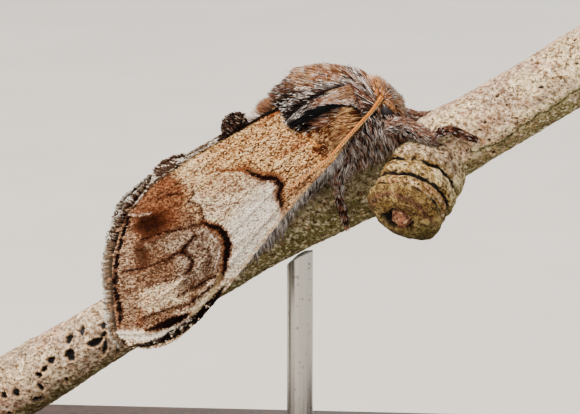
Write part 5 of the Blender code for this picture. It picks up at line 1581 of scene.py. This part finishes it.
def makeTibiaSpurs(name, joint, reach, side):  # pairs of slender spurs at the end of the shin
    roots = np.array([joint, joint]) * (1, side, 1)
    tips = roots + np.array(reach) * (1, side, 1)
    bends = mix(roots, tips, 0.4) + np.array([0.0, 0.04 * side, 0.03])
    ink = np.array([furInks["light"], furInks["fawn"]])
    uv = legUV(np.array([0.55, 0.60]), np.array([0.0, 2.0]), 0)
    makeCoat(f"{name}_spurs", "leg_fur", (name,), roots, bends, tips, (ink * 0.5, ink), uv, 0.11, 0.05)


for word, side in (("right", -1), ("left", 1)):
    for kind, (joint, reach) in tibiaSpurs.items():
        makeTibiaSpurs(f"{kind}_{word}", joint, reach, side)
print("coats ready")


# Eyes: balls with rows of facets.
def makeEye(side, word):
    rows, columns = 50, 84
    down, around = np.meshgrid(
        np.linspace(0.02, math.pi - 0.02, rows), np.arange(columns) / columns * math.tau, indexing="ij"
    )
    way = pack(np.sin(down) * np.cos(around), side * np.cos(down), np.sin(down) * np.sin(around))
    facets = 0.006 * (np.cos(down * 34.0) * np.cos(around * 34.0))
    radius = 0.54 + facets * np.sin(down) ** 2
    centre = np.array([eye["x"], side * eye["y"], eye["z"]])
    points = (centre + way * radius[..., None]).reshape(-1, 3)
    points = np.vstack([points, centre + way[0].mean(0) * 0.54, centre + way[-1].mean(0) * 0.54])
    faces = tubeFaces(rows, columns)
    if side < 0:
        faces = [f[:, ::-1] for f in faces]
    uv = pack(around / math.tau, down / math.pi).reshape(-1, 2)
    mesh = makeMesh(f"eye_{word}_ball", points, faces, None, np.vstack([uv, [[0.5, 0.0], [0.5, 1.0]]]))
    addPiece(mesh, eyeFinish, "eye_black", f"eye_{word}")


# Feelers: a tube of many short joints, with cream scales along its outer lower face.
feeler = {
    "path": (
        (8.32, 1.12, 4.52, 0.120), (7.55, 2.25, 4.33, 0.105), (6.73, 3.35, 4.26, 0.100), (5.58, 4.05, 4.0, 0.092),
        (4.17, 4.27, 3.56, 0.078), (2.76, 4.40, 3.38, 0.060), (1.36, 4.5, 3.21, 0.034),
    ),
    "joints": 58,
    "scales": 760,
    "scaleTurn": 138.0,  # degrees from the top to the row of scales
    "orange": linear("bb7514"),
    "deep": linear("8a4712"),
    "cream": linear("fae6b0"),
}


def makeFeeler(side, word, seed):
    chance = np.random.default_rng(seed)
    path = smoothPath(np.array(feeler["path"]) * (1, side, 1, 1), feeler["joints"] * 6)
    beat = np.arange(len(path)) / 6.0
    path[:, 3] *= 0.80 + 0.24 * np.abs(np.sin(np.pi * beat)) ** 0.6
    path[:10, 3] *= 1.18
    points, faces = tubeShape(path, 16)
    share = np.r_[np.repeat(np.linspace(0, 1, len(path)), 16), 0.0, 1.0]
    groove = np.r_[np.repeat(np.abs(np.sin(np.pi * beat)), 16), 1.0, 1.0]
    colour = mixInk(feeler["deep"] * 0.7, feeler["orange"], ramp(0.25, 0.8, groove)) * (1 - 0.15 * share[:, None])
    uv = pack(share, np.r_[np.tile(np.arange(16) / 16, len(path)), 0, 0])
    addPiece(
        makeMesh(f"antenna_{word}_tube", points, faces, colour, uv), hornFinish, "antenna_orange", f"antenna_{word}"
    )
    count = feeler["scales"]
    spot = (
        np.floor(chance.random(count) ** 1.25 * feeler["joints"]) + 0.30 + 0.35 * chance.random(count)
    ) / feeler["joints"]
    spine, along = readPath(path, spot), readPath(unit(np.gradient(path[:, :3], axis=0)), spot)
    sideways = unit(np.cross(along, np.array([0.0, 0.0, 1.0])))
    angle = math.radians(feeler["scaleTurn"]) + 0.20 * chance.normal(size=count)
    outward = unit(np.cross(sideways, along) * np.cos(angle)[:, None] + side * sideways * np.sin(angle)[:, None])
    roots = spine[:, :3] + outward * (spine[:, 3:] * 0.93)
    tips = roots + along * 0.11 + outward * 0.03
    ink = pick(chance.random(count) < 0.8, feeler["cream"], mix(feeler["orange"], feeler["cream"], 0.4))
    bends = mix(roots, tips, 0.5) + outward * 0.02
    uv = pack(spot, angle % 1.0) * 0.9 + 0.05
    across = np.cross(along, outward)
    mesh = growTufts(f"antenna_{word}_scales", roots, bends, tips, across, 0.034, 0.010, ink * 0.8, ink, uv)
    addPiece(mesh, scaleFinish, "antenna_orange", f"antenna_{word}")


for word, side in (("right", -1), ("left", 1)):
    makeEye(side, word)
    makeFeeler(side, word, 191 + side)
print("eyes and feelers ready")


# The twig. A turn here is 90 at the top and 180 on the camera's side.
twig = {
    "radius": 1.95,  # for drawing over the bark
    "stations": (
        (-22.5, -.50, 2.05), (-19, -.37, 1.98), (-13, -.20, 1.78), (-5, .02, 1.70), (0, .02, 1.72), (4.5, -.12, 1.86),
        (8, -.28, 2.02), (10.4, -.32, 2.18), (12.5, -.26, 2.10), (15, -.18, 2.05), (21.5, .10, 2.02)
    ),
    "rings": 480,
    "sides": 150,
    "cracks": (  # x, turn, half length, half width, tilt
        (-13.2, 156, .42, .30, 20), (-13.75, 171, .30, .20, -40), (-14.4, 173, .42, .24, 10),
        (-14.0, 190, .55, .13, -50), (-13.5, 212, .50, .12, -50),
        (-14.8, 138, .17, .32, 20), (-15.75, 140, .24, .30, 35), (-16.75, 111, .30, .09, 25),
        (-17.6, 126, .26, .10, 10), (-16.15, 169, .27, .36, 5),
        (-17.35, 160, .24, .20, 40), (-18.0, 168, .20, .15, 0), (-18.45, 171, .20, .15, 60), (-18.75, 191, .12, .28, 0),
        (-19.35, 210, .40, .17, 30),
        (-17.2, 208, .10, .20, 30), (-20.2, 178, .17, .26, 10), (-20.95, 170, .17, .20, 0), (-21.3, 205, .16, .12, 20),
        (-18.9, 60, .30, .14, 10),
        (-16.0, 40, .34, .16, 30), (-20.4, 320, .30, .18, 10), (-15.1, 300, .26, .22, 40), (-11.0, 330, .3, .15, 0),
        (4.1, 320, .26, .14, 20), (17.0, 300, .3, .12, 10),
    ),
    "pits": (
        (2.05, 156, .10), (1.85, 163, .08), (.55, 184, .10), (3.8, 214, .12), (12.5, 140, .10), (13.1, 165, .11),
        (12.6, 168, .07), (14.4, 136, .12),
        (16.05, 132, .06), (16.9, 163, .13), (17.4, 136, .10), (18.9, 125, .14), (20.0, 119, .10), (19.6, 160, .14),
        (14.8, 150, .07), (13.6, 152, .07),
        (11.6, 176, .09), (12.7, 194, .12), (13.1, 237, .14), (14.4, 214, .13), (15.2, 205, .16), (12.5, 222, .16),
    ),
    "creases": (  # lines in the bark: points (x, turn), half width, depth
        (((8.3, 132), (8.65, 145), (8.8, 162), (9.15, 181), (9.5, 200), (9.6, 222)), 0.16, 0.22),
        (((12.9, 214), (14.5, 206), (17.0, 203), (19.5, 200), (21.4, 197)), 0.12, 0.12),
        (((11.3, 196), (12.3, 202), (13.4, 210)), 0.10, 0.10),
    ),
}
barkInks = {name: linear(code) for name, code in {
    "grey": "a39280", "pink": "b0937f", "cream": "dacaa6", "pale": "ddd0bc", "green": "84805c", "mossAndShade": "3f401c",
    "rim": "ecc8a0", "black": "100f10",
    "slate": "35373c", "brown": "5a4130", "ochre": "93794c", "straw": "c2ad78", "bud": "a2705c", "wood": "cfae7e",
    "pith": "8d6238",
}.items()}


def layerPainter(colour):  # gives a function that blends more layers into an array of colours, real colours and painted shade alike
    def paintOver(ink, mask):
        colour[:] = mixInk(colour, barkInks[ink] if isinstance(ink, str) else ink, mask)

    return paintOver


def barkShape(x, turn, points):  # height of the bark and its colour
    p = pack(x, np.radians(turn) * twig["radius"])
    flat = np.c_[p, 0 * x]
    warp = pack(cloud(flat, 0.28, 61, 2), cloud(flat, 0.28, 67, 2))
    broad, patch, fine = cloud(points, 2.6, 71), cloud(points * (0.6, 1, 1), 0.8, 73), cloud(points, 0.22, 79, 3)
    dust, vein = cloud(points, 0.13, 89, 2), np.abs(cloud(points * (0.7, 1, 1), 0.9, 91, 2))
    lift = 0.07 * cloud(points, 3.2, 83, 2) + 0.035 * patch + 0.035 * fine + 0.015 * dust
    middle = ramp(-12.5, -10.0, x) * (1 - ramp(7.5, 9.5, x))
    far = ramp(8.5, 10.5, x)
    colour = mix(barkInks["grey"], barkInks["pink"], ramp(-0.5, 0.5, broad)[:, None])
    paintOver = layerPainter(colour)
    paintOver("cream", (0.50 + 0.35 * ramp(-14, -10, x)) * ramp(-0.15, 0.5, patch + 0.35 * far))
    paintOver("green", 0.75 * middle * ramp(-0.8, 0.3, -patch))
    paintOver("pink", 0.6 * far * (1 - ramp(95, 130, turn + 12 * patch)))
    paintOver("green", 0.5 * far * ramp(0.2, 0.8, -patch) * ramp(150, 185, turn))
    # Painted shade: dark moss olive on the twig's underside, reaching higher in the middle under the moth's belly.
    under = np.maximum(
        ramp(196, 226, turn + 14 * patch), 0.90 * middle * ramp(160, 188, turn + 16 * patch)
    ) * (1 - ramp(310, 345, turn))
    paintOver("mossAndShade", 0.85 * under * (0.75 + 0.25 * fine))
    colour *= (0.72 + 0.42 * ramp(-0.6, 0.6, fine))[:, None]
    paintOver("brown", 0.75 * ramp(0.28, 0.6, dust))
    paintOver(barkInks["pale"] * 1.2, 0.65 * ramp(0.25, 0.6, -dust))
    paintOver(barkInks["brown"] * 0.7, 0.5 * (1 - ramp(0.02, 0.06, vein)) * ramp(-0.2, 0.4, patch))
    q = p + 0.10 * warp
    for cx, cturn, a, b, tilt in twig["cracks"]:
        d = p + 0.05 * warp - np.array([cx, math.radians(cturn) * twig["radius"]])
        near = np.abs(d).max(-1) < 1.6
        c, s = math.cos(math.radians(tilt)), math.sin(math.radians(tilt))
        e, f = (d[:, 0] * c + d[:, 1] * s) / a, (d[:, 1] * c - d[:, 0] * s) / b
        # a crooked polygon
        away = np.maximum(np.maximum(np.abs(e) + 0.25 * f, np.abs(f) - 0.2 * e), (np.abs(e) + np.abs(f)) * 0.66) * 0.86
        edge = 0.10 / min(a, b)
        hole = (1 - ramp(1 - edge * 0.4, 1 + edge * 0.2, away)) * near
        rim = (1 - ramp(1 + edge * 0.2, 1 + edge * 0.75, away)) * near
        lift = lift + 0.06 * rim - 0.24 * hole
        paintOver("rim", 0.85 * rim * ramp(-0.8, 0.1, fine))
        # Painted shade: the inside of each crack is painted black and slate.
        paintOver(mix(barkInks["black"], barkInks["slate"], 0.6 * ramp(0, 0.5, warp[:, 0])[:, None]), hole)
    for cx, cturn, size in twig["pits"]:
        away = np.linalg.norm(q - np.array([cx, math.radians(cturn) * twig["radius"]]), axis=1)
        hole = 1 - ramp(size * 0.6, size * 1.15, away)
        paintOver("rim", 0.45 * (1 - ramp(size * 1.3, size * 2.2, away)))
        lift = lift - 0.10 * hole
        # Painted shade: each pit is painted black inside.
        paintOver("black", 0.97 * hole)
    for path, half, depth in twig["creases"]:
        path = np.array([(a, math.radians(b) * twig["radius"]) for a, b in path])
        line = strokeMask(q, path, half * 0.35, half * 0.6)
        glow = strokeMask(q, path, half * 1.2, half * 1.5)
        lift = lift - depth * line
        paintOver("green", 0.5 * glow)
        # Painted shade: the crease lines are painted dark olive and black.
        paintOver(mix(barkInks["mossAndShade"], barkInks["black"], 0.6), 0.9 * line)
    return lift, colour


def makeTwig():
    rings, sides = twig["rings"], twig["sides"]
    rows = smoothPath(twig["stations"], 200)
    x = np.linspace(rows[0, 0], rows[-1, 0], rings)
    places, turns = np.meshgrid(x, np.arange(sides) / sides * math.tau, indexing="ij")
    centre, radius = np.interp(places, rows[:, 0], rows[:, 1]), np.interp(places, rows[:, 0], rows[:, 2])
    way = pack(0 * places, np.cos(turns), np.sin(turns))
    base = pack(places, 0 * places, centre) + way * radius[..., None]
    lift, colour = barkShape(places.ravel(), np.degrees(turns.ravel()), base.reshape(-1, 3))
    points = base.reshape(-1, 3) + way.reshape(-1, 3) * lift[:, None]
    uv = pack(0.02 + 0.6 * (places - x[0]) / (x[-1] - x[0]), 0.02 + 0.9 * turns / math.tau).reshape(-1, 2)
    faces, colours, uvs, verts = [gridFaces(rings, sides)], [colour], [uv], [points]
    n = rings * sides
    for end, first in ((0, 0), (rings - 1, n - sides)):  # the sawn ends, with rings of wood round the pith
        start = sum(len(v) for v in verts)
        middle = np.array([x[end], 0.0, np.interp(x[end], rows[:, 0], rows[:, 1])])
        rim = points[first : first + sides]
        shares = np.array([0.975, 0.93, 0.84, 0.76, 0.68, 0.6, 0.52, 0.44, 0.36, 0.28, 0.2, 0.12, 0.05])
        sign = -1 if end == 0 else 1
        out = np.interp(shares, [0.05, 0.84, 0.93, 0.975], [0.05, 0.09, 0.09, 0.05])
        disc = middle + (rim - middle)[None] * shares[:, None, None] + np.array([sign, 0, 0]) * out[:, None, None]
        ink = np.array([mix(barkInks["wood"], barkInks["pith"], 0.0 if k % 2 else 0.45) for k in range(len(shares))])
        ink[0], ink[1] = barkInks["brown"], barkInks["green"]
        ink[-1], ink[-2] = barkInks["pith"] * 0.5, barkInks["pith"]
        grain = 1 + 0.15 * cloud(disc.reshape(-1, 3), 0.25, 101, 2)
        verts += [disc.reshape(-1, 3), [middle + np.array([sign * 0.05, 0, 0])]]
        colours += [np.repeat(ink, sides, axis=0) * grain[:, None], [barkInks["pith"] * 0.4]]
        spot = 0.5 + 0.45 * shares[:, None, None] * way[0, None, :, 1:]
        uvs += [(spot.reshape(-1, 2) * 0.3) + (0.66, 0.1 if end else 0.5), [[0.81, 0.25 if end else 0.65]]]
        inner = gridFaces(len(shares), sides) + start
        here, after = np.arange(sides), (np.arange(sides) + 1) % sides
        link = pack(first + here, first + after, start + after, start + here)
        cap = capFaces(np.arange(sides) + start + (len(shares) - 1) * sides, start + len(shares) * sides, True)
        faces += [f if end else f[:, ::-1] for f in (inner, link, cap)]
    mesh = makeMesh("twig_bark", np.vstack(verts), faces, np.vstack(colours), np.vstack(uvs))
    addPiece(mesh, barkFinish, "bark", "perch_twig")


spur = {
    "start": (9.60, 0.0, -0.25),
    "end": (6.45, -3.86, -1.62),
    "profile": (  # distance back from the end's rim, radius, groove
        (4.6, 1.9, 0), (3.6, 2.25, 0), (2.85, 2.42, 0), (2.56, 2.36, .1), (2.42, 2.06, 1), (2.32, 2.08, .8),
        (2.18, 2.28, .1), (1.85, 2.40, 0), (1.6, 2.40, 0),
        (1.38, 2.32, .1), (1.26, 2.10, .8), (1.18, 1.98, 1), (1.08, 2.08, .5), (.92, 2.22, 0), (.62, 2.26, 0),
        (.46, 2.20, .2), (.36, 2.07, .8), (.28, 2.07, .8),
        (.18, 2.22, .1), (.02, 2.33, 0), (-.2, 2.24, 0), (-.38, 2.0, 0), (-.52, 1.7, 0), (-.64, 1.4, 0),
        (-.68, 1.1, .1), (-.62, .85, .5), (-.45, .7, 1),
        (-.5, .62, .6), (-.68, .55, .1), (-.88, .42, 0), (-.97, .25, 0), (-1.0, .08, 0),
    ),
    "arc": 1.86,  # radius of the brown line inside the end's rim
    "hollow": (0.86, 0.10, 0.38, 0.66),  # place across and up, half width and half height of the open scar
}


def makeSpur():
    start, end = np.array(spur["start"]), np.array(spur["end"])
    axis = unit(end - start)
    across = unit(np.cross(axis, np.array([0.0, 0.0, 1.0])))
    up = np.cross(across, axis)
    profile = smoothPath(spur["profile"], 210)
    sides = 150
    back, radius, groove = profile.T
    turn = np.arange(sides) / sides * math.tau
    way = across * np.cos(turn)[:, None] + up * np.sin(turn)[:, None]
    backs, turns = (v.ravel() for v in np.meshgrid(back, turn, indexing="ij"))
    wide, deep = np.repeat(radius, sides), np.repeat(groove, sides)
    ways = np.tile(way, (len(back), 1))
    flat = end - axis * backs[:, None] + ways * wide[:, None]
    outer = ramp(0.0, 0.6, backs)
    wander = 0.12 * np.sin(turns * 2 + 0.6) + 0.10 * cloud(ways * 1.6, 0.8, 115, 2)  # the rings aren't quite level
    gap = 0.65 + 0.45 * cloud(ways * 2.2 + backs[:, None], 1.0, 117, 2)  # grooves close up here and there
    patch, fine, dust = cloud(flat, 0.9, 113), cloud(flat, 0.24, 127, 2), cloud(flat, 0.13, 129, 2)
    wobble = 0.11 * cloud(flat, 1.6, 103, 2) + 0.06 * cloud(flat, 0.45, 107) + 0.03 * fine + 0.012 * dust
    wobble = wobble * ramp(0.1, 0.9, wide) + 0.16 * deep * (1 - np.clip(gap, 0, 1.2)) * outer
    points = flat - axis * (wander * outer)[:, None] + ways * wobble[:, None]
    colour = mix(barkInks["ochre"], barkInks["straw"], ramp(-0.3, 0.6, patch)[:, None])
    paintOver = layerPainter(colour)
    paintOver("cream", 0.75 * ramp(1.3, 1.7, backs) * ramp(-0.5, 0.3, patch + fine))
    paintOver("grey", 0.75 * ramp(2.4, 2.8, backs) * ramp(-0.6, 0.2, -patch))
    paintOver(barkInks["bud"] * 0.7, 0.50 * ramp(0.30, 0.42, backs) * (1 - ramp(0.9, 1.15, backs)) * ramp(-0.5, 0.3, fine))
    face = (backs < 0.2) * 1.0
    rim = np.exp(-(((wide - spur["arc"] - 0.12 * patch) / 0.16) ** 2)) * face * ramp(-0.3, 0.3, np.cos(turns - 2.3))
    paintOver(barkInks["bud"] * 0.55, 0.85 * rim)
    shade = ramp(0.0, 0.9, np.cos(turns + 0.4)) * ramp(1.5, 2.1, wide)  # browner away from the light
    paintOver("brown", 0.75 * shade)
    # Painted shade: dark olive on the spur's lower side.
    low = ramp(0.2, 0.9, -np.sin(turns) - 0.1) * ramp(0.8, 1.8, wide)
    paintOver("mossAndShade", 0.65 * low)
    # Besides the random mottling, the end face is darkened and gets fewer pale specks: painted shade on the face turned
    # from the light.
    colour *= ((0.60 + 0.5 * ramp(-0.6, 0.6, fine)) * (1 - 0.42 * face))[:, None]
    paintOver(barkInks["brown"] * 0.6, 0.85 * ramp(0.25, 0.55, dust))
    paintOver("pale", 0.5 * ramp(0.3, 0.6, -dust) * (1 - 0.6 * face))
    # Painted shade: the grooves between the rings are painted black where they are deep.
    paintOver("black", 0.95 * ramp(0.50, 0.95, deep * np.clip(0.4 + gap, 0, 1.15) + 0.25 * fine))
    bud = 1 - ramp(0.62, 0.72, wide)
    paintOver(mix(barkInks["bud"] * 0.45, barkInks["rim"] * 0.6, ramp(0.0, 0.9, fine + 0.5 * dust)[:, None]), bud)
    points = points + axis * (bud * 0.16 * cloud(flat, 0.4, 131, 2))[:, None]
    chance = np.random.default_rng(5)
    for _ in range(230):  # dark pits, most of them round the bud
        spot = flat[chance.integers(sides * 40, len(flat) - sides * 30)]
        size = chance.uniform(0.04, 0.11)
        hole = 1 - ramp(size * 0.6, size * 1.2, np.linalg.norm(flat - spot, axis=1))
        # Painted shade: each pit is painted dark brown inside.
        paintOver(barkInks["brown"] * 0.25, 0.92 * hole)
        points = points - ways * (0.05 * hole)[:, None]
    place = (flat - end) @ pack(across, up) - spur["hollow"][:2]
    hole = (
        1 - ramp(0.8, 1.15, np.hypot(place[:, 0] / spur["hollow"][2], place[:, 1] / spur["hollow"][3]) + 0.15 * fine)
    ) * (1 - bud) * face
    # Painted shade: the open scar is painted black inside.
    paintOver("black", 0.97 * hole)
    points = points - axis * (0.32 * hole)[:, None]
    n = len(flat)
    points = np.vstack([points, end - axis * (back[-1] - 0.02), start])
    colour = np.vstack([colour, barkInks["bud"], barkInks["mossAndShade"]])
    uv = np.stack(
        np.meshgrid(0.02 + 0.6 * np.linspace(0, 1, len(back)), 0.02 + 0.9 * turn / math.tau, indexing="ij"), -1
    )
    faces = [gridFaces(len(back), sides), capFaces(np.arange(sides), n + 1), capFaces(np.arange(n - sides, n), n, True)]
    mesh = makeMesh("twig_spur", points, faces, colour, np.vstack([uv.reshape(-1, 2), [[0.5, 0.5], [0.5, 0.5]]]))
    addPiece(mesh, barkFinish, "bark", "perch_twig")


makeTwig()
makeSpur()
print("twig ready")


# The display stand keeps its CAD solids and gets stained wood and brushed steel.
standLooks = {
    "stand_base": ("standWoodFinish", {
        "grain": 900.0, "stretch": (0.12, 1.0, 1.0), "spread": (0.62, 1.35), "rough": (0.34, 0.52), "bump": 0.25,
        "depth": 0.00005,
        "flecks": ((2600.0, 0.33, "5a4638", 1.0),), "set": {"Coat Weight": 0.25, "Metallic": 0.0},
    }, "3a2416"),
    "stand_rod": ("standSteelFinish", {
        "grain": 5200.0, "stretch": (1.0, 1.0, 0.05), "spread": (0.86, 1.1), "rough": (0.22, 0.38), "bump": 0.15,
        "depth": 0.00001,
        "flecks": ((3000.0, 0.26, "b8b4ae", 1.0),), "set": {"Metallic": 1.0},
    }, "b4b2ae"),
}
for name, looks in standLooks.items():
    finish = makeFinish(*looks)
    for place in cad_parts[name].material_slots:
        place.material = finish
print("stand ready")


# Floor, light and camera. The light is soft and comes from the camera's upper left.
studio = {
    "floor": "cfccc6", "world": "f4f2ee", "worldPower": 0.29, "key": "fff4e8", "keyPower": 11.0, "fillPower": 0.9,
    "rimPower": 1.2
}


def makeFloor():
    mesh = bpy.data.meshes.new("floor")
    mesh.from_pydata([(-3, -3, 0), (3, -3, 0), (3, 3, 0), (-3, 3, 0)], [], [(0, 1, 2, 3)])
    floor = bpy.data.objects.new("floor", mesh)
    bpy.context.scene.collection.objects.link(floor)
    look = {"grain": 60.0, "spread": (0.97, 1.03), "rough": (0.7, 0.8), "bump": 0.05, "depth": 0.0002}
    mesh.materials.append(makeFinish("floorFinish", look, studio["floor"]))


makeFloor()

view = {  # the photo's angle and scale: lengths in metres, and pixels for the shift from the moth's middle
    "heading": 6.0, "dip": 10.0, "away": 0.230, "wide": 580, "perMillimetre": 16.5, "shift": (-10, 14), "sensor": 36.0,
}
heading, dip = math.radians(view["heading"]), math.radians(view["dip"])
lookWay = Vector((-math.sin(heading) * math.cos(dip), math.cos(heading) * math.cos(dip), -math.sin(dip)))
rightWay = Vector((math.cos(heading), math.sin(heading), 0.0))
upWay = rightWay.cross(lookWay)
across, rise = (pixels / view["perMillimetre"] for pixels in view["shift"])
aim = (Vector((pose["x"], 0.0, pose["z"])) + rightWay * across + upWay * rise) * 0.001


def addLight(name, place, size, power, colour="ffffff"):
    lamp = bpy.data.lights.new(name, "AREA")
    lamp.shape, lamp.size, lamp.energy = "DISK", size, power
    lamp.color = linear(colour)
    holder = bpy.data.objects.new(name, lamp)
    bpy.context.scene.collection.objects.link(holder)
    holder.location = aim + place
    holder.rotation_euler = (-place).to_track_quat("-Z", "Y").to_euler()


addLight("keyLight", lookWay * -0.25 - rightWay * 0.30 + Vector((0, 0, 0.42)), 0.30, studio["keyPower"], studio["key"])
addLight("fillLight", lookWay * -0.30 + rightWay * 0.45 + Vector((0, 0, 0.12)), 0.40, studio["fillPower"])
addLight("rimLight", lookWay * 0.35 + rightWay * 0.10 + Vector((0, 0, 0.35)), 0.25, studio["rimPower"])

world = bpy.data.worlds.new("studio")
bpy.context.scene.world = world
world.use_nodes = True
world.node_tree.nodes["Background"].inputs["Color"].default_value = (*linear(studio["world"]), 1.0)
world.node_tree.nodes["Background"].inputs["Strength"].default_value = studio["worldPower"]

lens = bpy.data.cameras.new("photoView")
seen = view["wide"] / view["perMillimetre"] * 0.001  # how wide the picture is at the moth
lens.lens, lens.sensor_width = view["sensor"] * view["away"] / seen, view["sensor"]
lens.clip_start, lens.clip_end = 0.01, 20.0
camera = bpy.data.objects.new("photoView", lens)
bpy.context.scene.collection.objects.link(camera)
camera.location = aim - lookWay * view["away"]
camera.rotation_euler = lookWay.to_track_quat("-Z", "Y").to_euler()
bpy.context.scene.camera = camera
print("stage and camera ready")
